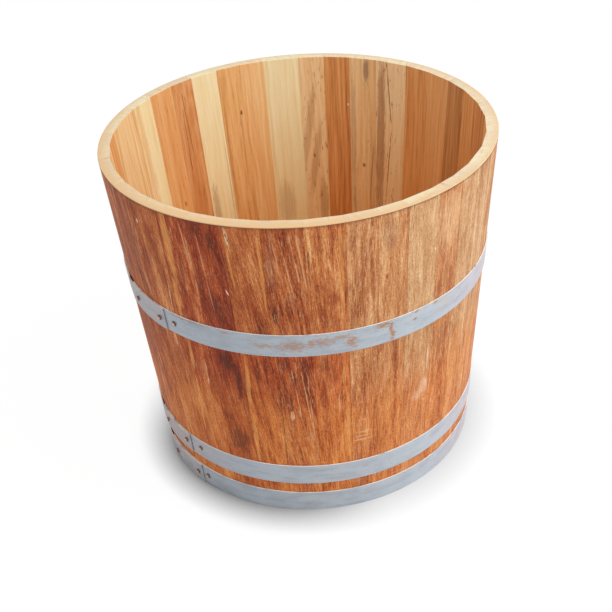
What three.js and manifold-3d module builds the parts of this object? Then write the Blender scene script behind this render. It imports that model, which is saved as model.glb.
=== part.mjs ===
// Coopered planter tub: tapered staves round a doweled floor, held by three riveted strip hoops.
// Millimetres, +Z up. The origin is the centre of the foot, on the ground. Angles are in degrees,
// counter-clockwise from +X. The hoops are lapped and riveted at the front left, towards -X and -Y.

import * as THREE from 'three';
import { mergeVertices } from 'three/addons/utils/BufferGeometryUtils.js';
import Module from 'manifold-3d';

const wasm = await Module();
wasm.setup();

// --- Driving dimensions: the wall ---

const RIM_RADIUS = 250; // outside of the wall at the top
const FOOT_RADIUS = 220; // outside of the wall on the ground
const HEIGHT = 449;
const STAVE_THICKNESS = 15;
const STAVE_GAP = 0.3; // between neighbouring staves
const RIM_ARRIS = 1; // chamfer on both edges of the rim
const FIRST_JOINT_ANGLE = 18.5; // where stave 1 begins

// Heartwood and sapwood tones of the staves.
const CREAM = 0xecc992;
const STRAW = 0xdcae74;
const HONEY = 0xcf9150;
const OCHRE = 0xb8763c;
const RUSSET = 0xa85f30;
const UMBER = 0x94582f;

// One entry per stave, counter-clockwise: its width at the rim and its tone. The widths share out
// the wall's whole circumference.
const STAVES = [
  [41.5, UMBER], [42.5, OCHRE], [43, RUSSET], [52.5, STRAW], [43.5, HONEY], [40, RUSSET],
  [39.5, STRAW], [54.5, CREAM], [36, HONEY], [39, OCHRE], [43.5, CREAM], [38.5, RUSSET],
  [44.5, HONEY], [41.5, CREAM], [39, HONEY], [41, OCHRE], [37.5, STRAW], [36.5, HONEY],
  [40.5, RUSSET], [38.5, OCHRE], [41.5, OCHRE], [41.5, RUSSET], [43.5, HONEY], [43.5, UMBER],
  [44.5, OCHRE], [47, RUSSET], [46, OCHRE], [37, RUSSET], [39, HONEY], [43.5, STRAW],
  [39, OCHRE], [39, HONEY], [49, STRAW], [44, OCHRE], [47.5, HONEY], [44.5, RUSSET],
  [46, OCHRE],
];

// --- Driving dimensions: the hoops and their rivets ---

const HOOP_WIDTH = 32;
const HOOP_THICKNESS = 1.5;
const HOOP_SEAT = 0.3; // between a hoop and what it lies on
const LAP_LENGTH = 78; // how far the strip's outer end reaches over its inner end
const LAP_STEP_LENGTH = 30; // where the strip climbs over its inner end

// Each hoop's lower edge above the ground, and the angle of its strip's outer end.
const MIDDLE_HOOP_FOOT = 268.5;
const LOWER_HOOP_FOOT = 50.5;
const FOOT_HOOP_FOOT = 0.5;
const MIDDLE_HOOP_END_ANGLE = 223;
const LOWER_HOOP_END_ANGLE = 220.4;
const FOOT_HOOP_END_ANGLE = 223.3;

// Where each rivet sits: how far past the strip's outer end, or before it where negative, and how far
// above or below the middle of the strip.
const MIDDLE_HOOP_RIVETS = [[15.5, 0], [-10, -1], [-62, 0.5]];
const LOWER_HOOP_RIVETS = [[19, 2], [-9, 2], [-62, 1.5]];
const FOOT_HOOP_RIVETS = [[9.5, 0], [-9, -1.5], [-65, -3]];

const HOOPS = [
  { name: 'middle_hoop', foot: MIDDLE_HOOP_FOOT, lapEnd: MIDDLE_HOOP_END_ANGLE, rivets: MIDDLE_HOOP_RIVETS },
  { name: 'lower_hoop', foot: LOWER_HOOP_FOOT, lapEnd: LOWER_HOOP_END_ANGLE, rivets: LOWER_HOOP_RIVETS },
  { name: 'foot_hoop', foot: FOOT_HOOP_FOOT, lapEnd: FOOT_HOOP_END_ANGLE, rivets: FOOT_HOOP_RIVETS },
];

const RIVET_HEAD_RADIUS = 3.5;
const RIVET_HEAD_HEIGHT = 2;
const RIVET_SHANK_RADIUS = 1.6;
const RIVET_SHANK_LENGTH = 11;
const RIVET_CLEARANCE = 0.3; // round the shank and under the head

// --- Driving dimensions: the floor ---

const FLOOR_UNDERSIDE = 27; // above the ground
const FLOOR_THICKNESS = 16;
const FLOOR_TONGUE_THICKNESS = 8; // the bevelled edge that sits in the groove
const FLOOR_SHOULDER = 2; // how far inside the wall the tongue ends and the bevel begins
const FLOOR_BEVEL = 14; // how far in the bevel reaches
const GROOVE_DEPTH = 5;
const GROOVE_CLEARANCE = 0.3;
const FLOOR_BOARDS = 4;
const FLOOR_BOARD_GAP = 0.3;
const DOWEL_RADIUS = 4;
const DOWEL_LENGTH = 30;
const DOWEL_SPACING = 200; // between the two dowels of a joint
const DOWEL_CLEARANCE = 0.3;
const DRAIN_RADIUS = 10;
const DRAIN_SPACING = 210; // between the two drain holes of a middle board

// --- Facets of the round forms ---

const TURNED_SIDES = 120; // round the tub
const SMALL_SIDES = 12; // round a rivet, a dowel or a hole
const DOME_STEPS = 3; // from the edge of a rivet's head to its top
const CUT_MARGIN = 2; // how far a cutting form runs past what it cuts
const FULL_TURN = 360;

const WOOD_ROUGHNESS = 0.75;
const STEEL = new THREE.MeshStandardMaterial({ color: 0x9aa5b0, roughness: 0.45, metalness: 0.8 });
const COPPER = new THREE.MeshStandardMaterial({ color: 0xb5673f, roughness: 0.4, metalness: 0.9 });

const { degToRad, radToDeg, lerp, smoothstep } = THREE.MathUtils;

/** The wall's outside radius at a height above the ground. */
function wallRadius(z) {
  return lerp(FOOT_RADIUS, RIM_RADIUS, z / HEIGHT);
}

/** How far the wall leans outwards from upright, in radians. */
const WALL_LEAN = Math.atan((RIM_RADIUS - FOOT_RADIUS) / HEIGHT);

/** A radius that clears the outside of the wall everywhere. */
const CLEAR_RADIUS = Math.max(RIM_RADIUS, FOOT_RADIUS) + CUT_MARGIN;

/** Turns a closed geometry into a solid that can be cut and joined. */
function solidFrom(geometry) {
  geometry.deleteAttribute('normal');
  geometry.deleteAttribute('uv');
  const merged = mergeVertices(geometry);
  const vertProperties = new Float32Array(merged.attributes.position.array);
  const triVerts = new Uint32Array(merged.index.array);
  return new wasm.Manifold(new wasm.Mesh({ numProp: 3, vertProperties, triVerts }));
}

/** Turns a solid back into a geometry. */
function geometryFrom(solid) {
  const { vertProperties, triVerts } = solid.getMesh();
  const geometry = new THREE.BufferGeometry();
  geometry.setAttribute('position', new THREE.BufferAttribute(vertProperties, 3));
  geometry.setIndex(new THREE.BufferAttribute(triVerts, 1));
  geometry.computeVertexNormals();
  return geometry;
}

/** A form turned round the Z axis from a profile of [radius, height] points. */
function turned(profile) {
  const points = profile.map(([radius, height]) => new THREE.Vector2(radius, height));
  return new THREE.LatheGeometry(points, TURNED_SIDES).rotateX(Math.PI / 2);
}

/** A prism over a flat outline of [x, y] points, from one height to another. */
function prism(outline, bottom, top) {
  const shape = new THREE.Shape(outline.map(([x, y]) => new THREE.Vector2(x, y)));
  const geometry = new THREE.ExtrudeGeometry(shape, { depth: top - bottom, bevelEnabled: false });
  return geometry.translate(0, 0, bottom);
}

/** A point on the outside of the wall, lifted off it, and the direction that faces out of the wall. */
function wallPlace(angle, z, lift) {
  const turn = degToRad(angle);
  const outward = new THREE.Vector3(
    Math.cos(turn) * Math.cos(WALL_LEAN), Math.sin(turn) * Math.cos(WALL_LEAN), -Math.sin(WALL_LEAN),
  );
  const point = new THREE.Vector3(Math.cos(turn), Math.sin(turn), 0).multiplyScalar(wallRadius(z));
  point.z = z;
  return { point: point.addScaledVector(outward, lift), outward };
}

/** The turn that points a form's own +Y out of the wall. */
function outwardTurn(outward) {
  return new THREE.Quaternion().setFromUnitVectors(new THREE.Vector3(0, 1, 0), outward);
}

// --- Rivets ---

/** The lift of a strip's underside off the wall, where it lies over its own inner end. */
const LAP_LIFT = HOOP_THICKNESS + HOOP_SEAT;

/** How many degrees a length takes up on a hoop's own circumference. */
function hoopDegrees(hoop, length) {
  return radToDeg(length / wallRadius(hoop.foot + HOOP_WIDTH / 2));
}

/** How far a strip's underside stands off the wall at an angle: it rides up over its inner end. */
function stripLift(hoop, angle) {
  const lapStart = hoop.lapEnd - hoopDegrees(hoop, LAP_LENGTH);
  const climbStart = lapStart - hoopDegrees(hoop, LAP_STEP_LENGTH);
  return HOOP_SEAT + LAP_LIFT * smoothstep(angle, climbStart, lapStart);
}

/** Every rivet: its hoop, its number, its angle, its height and how far its head stands off the wall. */
const RIVETS = HOOPS.flatMap((hoop) => hoop.rivets.map(([past, offset], i) => {
  const angle = hoop.lapEnd + hoopDegrees(hoop, past);
  const strip = angle < hoop.lapEnd ? stripLift(hoop, angle) : HOOP_SEAT;
  return {
    name: `${hoop.name}_rivet_${i + 1}`,
    hoop: hoop.name,
    angle,
    z: hoop.foot + HOOP_WIDTH / 2 + offset,
    lift: strip + HOOP_THICKNESS + RIVET_CLEARANCE,
  };
}));

/** A domed head on a straight shank, along its own +Y, with the underside of the head at zero. */
function rivetGeometry() {
  const profile = [
    new THREE.Vector2(0, -RIVET_SHANK_LENGTH),
    new THREE.Vector2(RIVET_SHANK_RADIUS, -RIVET_SHANK_LENGTH),
    new THREE.Vector2(RIVET_SHANK_RADIUS, 0),
  ];
  for (let i = 0; i <= DOME_STEPS; i += 1) {
    const rise = (i / DOME_STEPS) * (Math.PI / 2);
    const radius = i < DOME_STEPS ? RIVET_HEAD_RADIUS * Math.cos(rise) : 0;
    profile.push(new THREE.Vector2(radius, RIVET_HEAD_HEIGHT * Math.sin(rise)));
  }
  return new THREE.LatheGeometry(profile, SMALL_SIDES);
}

/** The hole that a rivet needs, in the tub's frame turned back by a given angle. */
function rivetHole(rivet, turnedBack = 0) {
  const { point, outward } = wallPlace(rivet.angle - turnedBack, rivet.z, rivet.lift);
  const radius = RIVET_SHANK_RADIUS + RIVET_CLEARANCE;
  const depth = RIVET_SHANK_LENGTH + RIVET_CLEARANCE + CUT_MARGIN;
  const hole = new THREE.CylinderGeometry(radius, radius, depth, SMALL_SIDES);
  hole.translate(0, CUT_MARGIN - depth / 2, 0);
  hole.applyQuaternion(outwardTurn(outward));
  return solidFrom(hole.translate(point.x, point.y, point.z));
}

function rivetMesh(rivet) {
  const { point, outward } = wallPlace(rivet.angle, rivet.z, rivet.lift);
  const mesh = new THREE.Mesh(rivetGeometry(), COPPER);
  mesh.name = rivet.name;
  mesh.position.copy(point);
  mesh.quaternion.copy(outwardTurn(outward));
  return mesh;
}

// --- Floor ---

/** The height of the floor's middle plane, and the radius that the groove in the staves reaches. */
const FLOOR_MIDDLE = FLOOR_UNDERSIDE + FLOOR_THICKNESS / 2;
const GROOVE_RADIUS = wallRadius(FLOOR_MIDDLE) - STAVE_THICKNESS + GROOVE_DEPTH;
const FLOOR_RADIUS = GROOVE_RADIUS - GROOVE_CLEARANCE;
const FLOOR_BOARD_WIDTH = (2 * FLOOR_RADIUS) / FLOOR_BOARDS;
const MIDDLE_BOARD = Math.floor(FLOOR_BOARDS / 2); // counted from the front, from 0

/** The groove round the inside of the wall that the floor's edge sits in. */
function grooveCut() {
  const reach = FLOOR_TONGUE_THICKNESS / 2 + GROOVE_CLEARANCE;
  const mouth = GROOVE_RADIUS - GROOVE_DEPTH - STAVE_THICKNESS;
  return solidFrom(turned([
    [mouth, FLOOR_MIDDLE - reach],
    [GROOVE_RADIUS, FLOOR_MIDDLE - reach],
    [GROOVE_RADIUS, FLOOR_MIDDLE + reach],
    [mouth, FLOOR_MIDDLE + reach],
    [mouth, FLOOR_MIDDLE - reach],
  ]));
}

/** The whole round floor, bevelled above and below to the tongue that the groove takes. */
function floorDisc() {
  const face = FLOOR_THICKNESS / 2;
  const tongue = FLOOR_TONGUE_THICKNESS / 2;
  const tongueStart = FLOOR_RADIUS - GROOVE_DEPTH - FLOOR_SHOULDER;
  const bevelStart = tongueStart - FLOOR_BEVEL;
  return solidFrom(turned([
    [0, -face], [bevelStart, -face], [tongueStart, -tongue], [FLOOR_RADIUS, -tongue],
    [FLOOR_RADIUS, tongue], [tongueStart, tongue], [bevelStart, face], [0, face],
  ]).translate(0, 0, FLOOR_MIDDLE));
}

/** A dowel or its hole, lying along Y across the joint between two boards. */
function dowelGeometry(x, jointY, radius, length) {
  return new THREE.CylinderGeometry(radius, radius, length, SMALL_SIDES).translate(x, jointY, FLOOR_MIDDLE);
}

/** The Y of the joint above a board, counted from the front. */
function floorJointY(board) {
  return (board + 1) * FLOOR_BOARD_WIDTH - FLOOR_RADIUS;
}

const DOWELS = [];
for (let joint = 0; joint < FLOOR_BOARDS - 1; joint += 1) {
  for (const side of [-1, 1]) {
    DOWELS.push({ x: (side * DOWEL_SPACING) / 2, y: floorJointY(joint) });
  }
}

/** The drain holes: two on the centre line of each of the two middle boards. */
function drainCuts() {
  const cuts = [];
  for (const board of [MIDDLE_BOARD - 1, MIDDLE_BOARD]) {
    const y = floorJointY(board) - FLOOR_BOARD_WIDTH / 2;
    for (const side of [-1, 1]) {
      const depth = FLOOR_THICKNESS + 2 * CUT_MARGIN;
      const drain = new THREE.CylinderGeometry(DRAIN_RADIUS, DRAIN_RADIUS, depth, 2 * SMALL_SIDES);
      drain.rotateX(Math.PI / 2).translate((side * DRAIN_SPACING) / 2, y, FLOOR_MIDDLE);
      cuts.push(solidFrom(drain));
    }
  }
  return cuts;
}

function floorBoardMeshes() {
  const disc = floorDisc();
  const drains = drainCuts();
  const dowelHoles = DOWELS.map(({ x, y }) => solidFrom(dowelGeometry(
    x, y, DOWEL_RADIUS + DOWEL_CLEARANCE, DOWEL_LENGTH + 2 * DOWEL_CLEARANCE,
  )));
  const tones = [OCHRE, HONEY, RUSSET, STRAW];
  return Array.from({ length: FLOOR_BOARDS }, (_, board) => {
    const width = FLOOR_BOARD_WIDTH - FLOOR_BOARD_GAP;
    const blank = new THREE.BoxGeometry(2 * FLOOR_RADIUS + CUT_MARGIN, width, 2 * FLOOR_THICKNESS);
    blank.translate(0, floorJointY(board) - FLOOR_BOARD_WIDTH / 2, FLOOR_MIDDLE);
    let solid = disc.intersect(solidFrom(blank));
    for (const cut of [...drains, ...dowelHoles]) {
      solid = solid.subtract(cut);
    }
    const mesh = new THREE.Mesh(geometryFrom(solid), wood(tones[board % tones.length]));
    mesh.name = `floor_board_${board + 1}`;
    return mesh;
  });
}

function dowelMeshes() {
  return DOWELS.map(({ x, y }, i) => {
    const mesh = new THREE.Mesh(dowelGeometry(x, y, DOWEL_RADIUS, DOWEL_LENGTH), wood(STRAW));
    mesh.name = `floor_dowel_${i + 1}`;
    return mesh;
  });
}

// --- Staves ---

function wood(color) {
  return new THREE.MeshStandardMaterial({ color, roughness: WOOD_ROUGHNESS, metalness: 0 });
}

/** The flat board that a stave is cut from, standing on +X: flat inside, with spare wood outside. */
function staveBoard(halfAngle) {
  const inner = (z) => wallRadius(z) - STAVE_THICKNESS;
  const outer = (z) => wallRadius(z) + CUT_MARGIN;
  const side = [
    [inner(0), 0],
    [outer(0), 0],
    [outer(HEIGHT), HEIGHT],
    [inner(HEIGHT) + RIM_ARRIS, HEIGHT],
    [inner(HEIGHT - RIM_ARRIS), HEIGHT - RIM_ARRIS],
  ];
  const halfWidth = CLEAR_RADIUS * Math.tan(halfAngle);
  return solidFrom(prism(side, -halfWidth, halfWidth).rotateX(Math.PI / 2));
}

/** The wedge between the two joint faces of a stave that is centred on +X. */
function staveWedge(halfAngle) {
  const reach = CLEAR_RADIUS / Math.cos(halfAngle);
  const inset = STAVE_GAP / 2;
  const tip = [inset / Math.sin(halfAngle), 0];
  const far = [
    reach * Math.cos(halfAngle) + inset * Math.sin(halfAngle),
    reach * Math.sin(halfAngle) - inset * Math.cos(halfAngle),
  ];
  return solidFrom(prism([tip, [far[0], -far[1]], far], -CUT_MARGIN, HEIGHT + CUT_MARGIN));
}

/** The full cone that dresses the outside of the wall round. */
function wallCone() {
  return solidFrom(turned([
    [0, 0],
    [FOOT_RADIUS, 0],
    [wallRadius(HEIGHT - RIM_ARRIS), HEIGHT - RIM_ARRIS],
    [RIM_RADIUS - RIM_ARRIS, HEIGHT],
    [0, HEIGHT],
  ]));
}

function staveMeshes() {
  const cone = wallCone();
  const groove = grooveCut();
  const widths = STAVES.reduce((sum, [width]) => sum + width, 0);
  let start = FIRST_JOINT_ANGLE;
  return STAVES.map(([width, tone], i) => {
    const span = (FULL_TURN * width) / widths;
    const middle = start + span / 2;
    const halfAngle = degToRad(span / 2);
    start += span;

    let solid = staveBoard(halfAngle).intersect(staveWedge(halfAngle)).intersect(cone).subtract(groove);
    for (const rivet of RIVETS) {
      const turn = (rivet.angle - middle + FULL_TURN) % FULL_TURN;
      if (Math.min(turn, FULL_TURN - turn) < span) {
        solid = solid.subtract(rivetHole(rivet, middle));
      }
    }
    const mesh = new THREE.Mesh(geometryFrom(solid), wood(tone));
    mesh.name = `stave_${String(i + 1).padStart(2, '0')}`;
    mesh.rotation.z = degToRad(middle);
    return mesh;
  });
}

// --- Hoops ---

/** A closed form swept through a row of sections, each with its corners in the same order. */
function sweptGeometry(sections) {
  const corners = sections[0].length;
  const index = [];
  for (let row = 0; row < sections.length - 1; row += 1) {
    for (let corner = 0; corner < corners; corner += 1) {
      const next = (corner + 1) % corners;
      const [a, b] = [row * corners + corner, row * corners + next];
      index.push(a, b, a + corners, b, b + corners, a + corners);
    }
  }
  const last = (sections.length - 1) * corners;
  for (let corner = 1; corner < corners - 1; corner += 1) {
    index.push(0, corner + 1, corner, last, last + corner, last + corner + 1);
  }
  const geometry = new THREE.BufferGeometry();
  const points = sections.flat().flatMap(({ x, y, z }) => [x, y, z]);
  geometry.setAttribute('position', new THREE.Float32BufferAttribute(points, 3));
  geometry.setIndex(index);
  return geometry;
}

/** One strip, bent once round the wall from its inner end and over it to its outer end. */
function hoopMesh(hoop) {
  const start = hoop.lapEnd - hoopDegrees(hoop, LAP_LENGTH);
  const sweep = FULL_TURN + hoop.lapEnd - start;
  const steps = Math.ceil(sweep / (FULL_TURN / TURNED_SIDES));
  const top = hoop.foot + HOOP_WIDTH;
  const sections = [];
  for (let i = 0; i <= steps; i += 1) {
    const angle = start + (sweep * i) / steps;
    const turn = degToRad(angle);
    const lift = stripLift(hoop, angle - FULL_TURN);
    const corner = (z, out) => {
      const radius = wallRadius(z) + lift + out;
      return new THREE.Vector3(radius * Math.cos(turn), radius * Math.sin(turn), z);
    };
    sections.push([
      corner(hoop.foot, 0), corner(top, 0), corner(top, HOOP_THICKNESS), corner(hoop.foot, HOOP_THICKNESS),
    ]);
  }
  let solid = solidFrom(sweptGeometry(sections));
  for (const rivet of RIVETS.filter((each) => each.hoop === hoop.name)) {
    solid = solid.subtract(rivetHole(rivet));
  }
  const mesh = new THREE.Mesh(geometryFrom(solid), STEEL);
  mesh.name = hoop.name;
  return mesh;
}

// --- The tub ---

const tub = new THREE.Group();
tub.add(...staveMeshes());
tub.add(...floorBoardMeshes(), ...dowelMeshes());
tub.add(...HOOPS.map(hoopMesh));
tub.add(...RIVETS.map(rivetMesh));

export default tub;
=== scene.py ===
"""Coopered planter tub: dressed staves, floor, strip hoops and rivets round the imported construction.

Metres, +Z up, with the origin at the centre of the foot. Angles are in degrees, counter-clockwise from +X.
The camera looks along +Y, so the front of the tub is at 270 degrees.
"""

import logging
import math
from collections.abc import Callable, Iterator
from contextlib import contextmanager
from dataclasses import dataclass, field
from enum import Enum

import bmesh
import bpy
from mathutils import Matrix, Vector


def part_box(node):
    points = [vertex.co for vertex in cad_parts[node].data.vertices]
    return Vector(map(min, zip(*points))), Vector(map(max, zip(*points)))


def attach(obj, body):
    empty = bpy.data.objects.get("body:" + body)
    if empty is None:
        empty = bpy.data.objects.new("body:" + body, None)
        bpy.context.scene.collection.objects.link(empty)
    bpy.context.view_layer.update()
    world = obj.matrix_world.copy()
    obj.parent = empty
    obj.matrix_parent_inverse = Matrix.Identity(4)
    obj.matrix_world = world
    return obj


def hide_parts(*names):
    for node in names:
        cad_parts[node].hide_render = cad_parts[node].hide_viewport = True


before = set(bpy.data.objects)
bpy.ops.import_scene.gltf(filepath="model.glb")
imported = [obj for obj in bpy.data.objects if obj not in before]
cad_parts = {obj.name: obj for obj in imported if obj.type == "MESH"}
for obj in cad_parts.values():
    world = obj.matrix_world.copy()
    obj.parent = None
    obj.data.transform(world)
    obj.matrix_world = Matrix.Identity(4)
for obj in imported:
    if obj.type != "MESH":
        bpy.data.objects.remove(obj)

LOG = logging.getLogger("planter_tub")

MM = 0.001
FULL_TURN = 360.0
WELD = MM / 1000
ON_GROUND = MM / 10
SIDES = (-1, 1)

Socket = bpy.types.NodeSocket
Colour = tuple[float, float, float, float]
Triple = tuple[float, float, float]


# --- Measures taken from the imported construction ---


def plan_angle(point: Vector) -> float:
    """The angle of a point round the tub's axis, from 0 to 360 degrees."""
    return math.degrees(math.atan2(point.y, point.x)) % FULL_TURN


def signed_turn(angle: float) -> float:
    """An angle brought to between -180 and 180 degrees."""
    return (angle + FULL_TURN / 2) % FULL_TURN - FULL_TURN / 2


def node_points(node: str) -> list[Vector]:
    """The corners of a CAD node's mesh."""
    return [vertex.co.copy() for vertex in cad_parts[node].data.vertices]


@dataclass(frozen=True)
class Wall:
    """The tapered wall that every other piece is placed by.

    Attributes:
        height: From the ground to the rim.
        foot_radius: Outside of the wall on the ground.
        rim_radius: Outside of the wall at the rim.
        thickness: Of a stave at its joints, measured level.
        joints: The angle of the joint before each stave, and after the last.
    """

    height: float
    foot_radius: float
    rim_radius: float
    thickness: float
    joints: tuple[float, ...]

    @classmethod
    def measure(cls) -> "Wall":
        """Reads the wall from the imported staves.

        Returns:
            The wall.
        """
        names = sorted(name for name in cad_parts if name.startswith("stave_"))
        spans: list[tuple[float, float]] = []
        everything: list[Vector] = []
        for name in names:
            points = node_points(name)
            everything += points
            middle = plan_angle(sum(points, Vector()))
            turns = [signed_turn(plan_angle(point) - middle) for point in points]
            spans.append((middle + min(turns), middle + max(turns)))
        at_foot = [point.xy.length for point in everything if point.z < ON_GROUND]
        foot_radius = max(at_foot)
        widest = max(everything, key=lambda point: point.xy.length)
        height = max(point.z for point in everything)
        flare = (widest.xy.length - foot_radius) / widest.z
        joints = [spans[0][0] + signed_turn(spans[-1][1] - spans[0][0]) / 2]
        for before, after in zip(spans, spans[1:]):
            joint = before[1] + signed_turn(after[0] - before[1]) / 2
            joints.append(joints[-1] + (joint - joints[-1]) % FULL_TURN)
        joints.append(joints[0] + FULL_TURN)
        return cls(
            height=height,
            foot_radius=foot_radius,
            rim_radius=foot_radius + flare * height,
            thickness=foot_radius - min(at_foot),
            joints=tuple(joints),
        )

    @property
    def lean(self) -> float:
        """How far the wall leans outwards from upright, in radians."""
        return math.atan2(self.rim_radius - self.foot_radius, self.height)

    def radius(self, height: float) -> float:
        """The outside radius at a height."""
        return self.foot_radius + (self.rim_radius - self.foot_radius) * height / self.height

    def outward(self, angle: float) -> Vector:
        """The direction that faces squarely out of the wall.

        Args:
            angle: Round the tub.

        Returns:
            The direction, of length 1.
        """
        turn = math.radians(angle)
        level = math.cos(self.lean)
        return Vector((math.cos(turn) * level, math.sin(turn) * level, -math.sin(self.lean)))

    def point(self, angle: float, height: float) -> Vector:
        """A point on the outside of the wall.

        Args:
            angle: Round the tub.
            height: Above the ground.

        Returns:
            The point.
        """
        turn = math.radians(angle)
        radius = self.radius(height)
        return Vector((radius * math.cos(turn), radius * math.sin(turn), height))


# --- Working the meshes by hand ---


def start_clean() -> None:
    """Deselects everything, so that the next operator acts on its own piece alone."""
    if bpy.context.object and bpy.context.object.mode != "OBJECT":
        bpy.ops.object.mode_set(mode="OBJECT")
    bpy.ops.object.select_all(action="DESELECT")


@contextmanager
def edit_mode(piece: bpy.types.Object, select: str = "FACE") -> Iterator[None]:
    """Opens a piece in edit mode with nothing selected, and closes it again.

    Args:
        piece: The piece to edit.
        select: The select mode, VERT, EDGE or FACE.

    Yields:
        Nothing, once the piece is open.
    """
    bpy.context.view_layer.objects.active = piece
    bpy.ops.object.mode_set(mode="EDIT")
    bpy.ops.mesh.select_mode(type=select)
    bpy.ops.mesh.select_all(action="DESELECT")
    yield
    bpy.ops.object.mode_set(mode="OBJECT")


def pick_edges(piece: bpy.types.Object, wanted: Callable[[Vector, Vector], bool]) -> None:
    """Selects the edges whose two ends pass a test, and no others.

    Args:
        piece: The piece in edit mode.
        wanted: The test, given both ends.
    """
    mesh = bmesh.from_edit_mesh(piece.data)
    for edge in mesh.edges:
        edge.select_set(wanted(edge.verts[0].co, edge.verts[1].co))
    mesh.select_flush_mode()
    bmesh.update_edit_mesh(piece.data)


def pick_faces(piece: bpy.types.Object, wanted: Callable[[Vector, Vector], bool]) -> None:
    """Selects the faces whose centre and normal pass a test, and no others.

    Args:
        piece: The piece in edit mode.
        wanted: The test, given the face's centre and its normal.
    """
    mesh = bmesh.from_edit_mesh(piece.data)
    for face in mesh.faces:
        face.select_set(wanted(face.calc_center_median(), face.normal))
    bmesh.update_edit_mesh(piece.data)


def saw_off(point: Vector, normal: Vector) -> None:
    """Cuts away what lies past a plane and closes the cut, in edit mode."""
    bpy.ops.mesh.select_all(action="SELECT")
    bpy.ops.mesh.bisect(plane_co=point, plane_no=normal, use_fill=True, clear_outer=True, threshold=WELD)


def close_up(threshold: float = WELD) -> None:
    """Joins the points of a spun mesh that meet and turns its faces outwards, in edit mode.

    Args:
        threshold: How far apart two points that meet may lie.
    """
    bpy.ops.mesh.select_all(action="SELECT")
    bpy.ops.mesh.remove_doubles(threshold=threshold)
    bpy.ops.mesh.select_all(action="SELECT")
    bpy.ops.mesh.normals_make_consistent(inside=False)


def select_only(piece: bpy.types.Object) -> None:
    """Selects one piece, so that the next operator acts on it alone.

    Args:
        piece: The piece.
    """
    bpy.ops.object.select_all(action="DESELECT")
    piece.select_set(True)
    bpy.context.view_layer.objects.active = piece


def settle(piece: bpy.types.Object, name: str) -> bpy.types.Object:
    """Applies a piece's place to its mesh and names it.

    Args:
        piece: The piece.
        name: Its new name.

    Returns:
        The same piece.
    """
    select_only(piece)
    bpy.ops.object.transform_apply(location=True, rotation=True, scale=True)
    piece.name = name
    piece.data.name = name
    return piece


def finish_with(piece: bpy.types.Object, kind: str, **settings: object) -> None:
    """Adds one modifier and applies it.

    Args:
        piece: The piece.
        kind: The modifier's type.
        settings: The modifier's own properties.
    """
    bpy.context.view_layer.objects.active = piece
    modifier = piece.modifiers.new(kind.lower(), kind)
    for setting, value in settings.items():
        setattr(modifier, setting, value)
    bpy.ops.object.modifier_apply(modifier=modifier.name)


def carve(piece: bpy.types.Object, cutter: bpy.types.Object, operation: str = "DIFFERENCE") -> None:
    """Cuts a piece by another, or keeps what they share where the operation is INTERSECT."""
    finish_with(piece, "BOOLEAN", operation=operation, solver="EXACT", object=cutter)


def smooth_shade(piece: bpy.types.Object, sharp_from: float = 35.0) -> None:
    """Shades a piece smooth, with its sharp edges left crisp.

    Args:
        piece: The piece.
        sharp_from: The angle from which an edge is sharp, in degrees.
    """
    select_only(piece)
    bpy.ops.object.shade_smooth_by_angle(angle=math.radians(sharp_from))


def drop(piece: bpy.types.Object) -> None:
    """Throws a used cutter away.

    Args:
        piece: The cutter.
    """
    mesh = piece.data
    bpy.data.objects.remove(piece)
    bpy.data.meshes.remove(mesh)


def paint(piece: bpy.types.Object, *materials: bpy.types.Material) -> None:
    """Gives a piece its materials in place of those that it has.

    Args:
        piece: The piece.
        materials: The materials, in the order of its material numbers.
    """
    piece.data.materials.clear()
    for material in materials:
        piece.data.materials.append(material)


# --- Wiring the finishes ---


def linear(code: int) -> Colour:
    """A colour as the linear colour that a node takes.

    Args:
        code: The colour, written as 0xRRGGBB.

    Returns:
        The linear colour, with an alpha of 1.
    """
    channels = [(code >> shift & 0xFF) / 255 for shift in (16, 8, 0)]
    red, green, blue = (c / 12.92 if c <= 0.04045 else ((c + 0.055) / 1.055) ** 2.4 for c in channels)
    return red, green, blue, 1.0


def scale_of(stops: tuple[float, ...], codes: tuple[int, ...]) -> list[tuple[float, Colour]]:
    """A scale of tones for a colour ramp: each tone, written as 0xRRGGBB, at its stop."""
    return list(zip(stops, map(linear, codes), strict=True))


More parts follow.
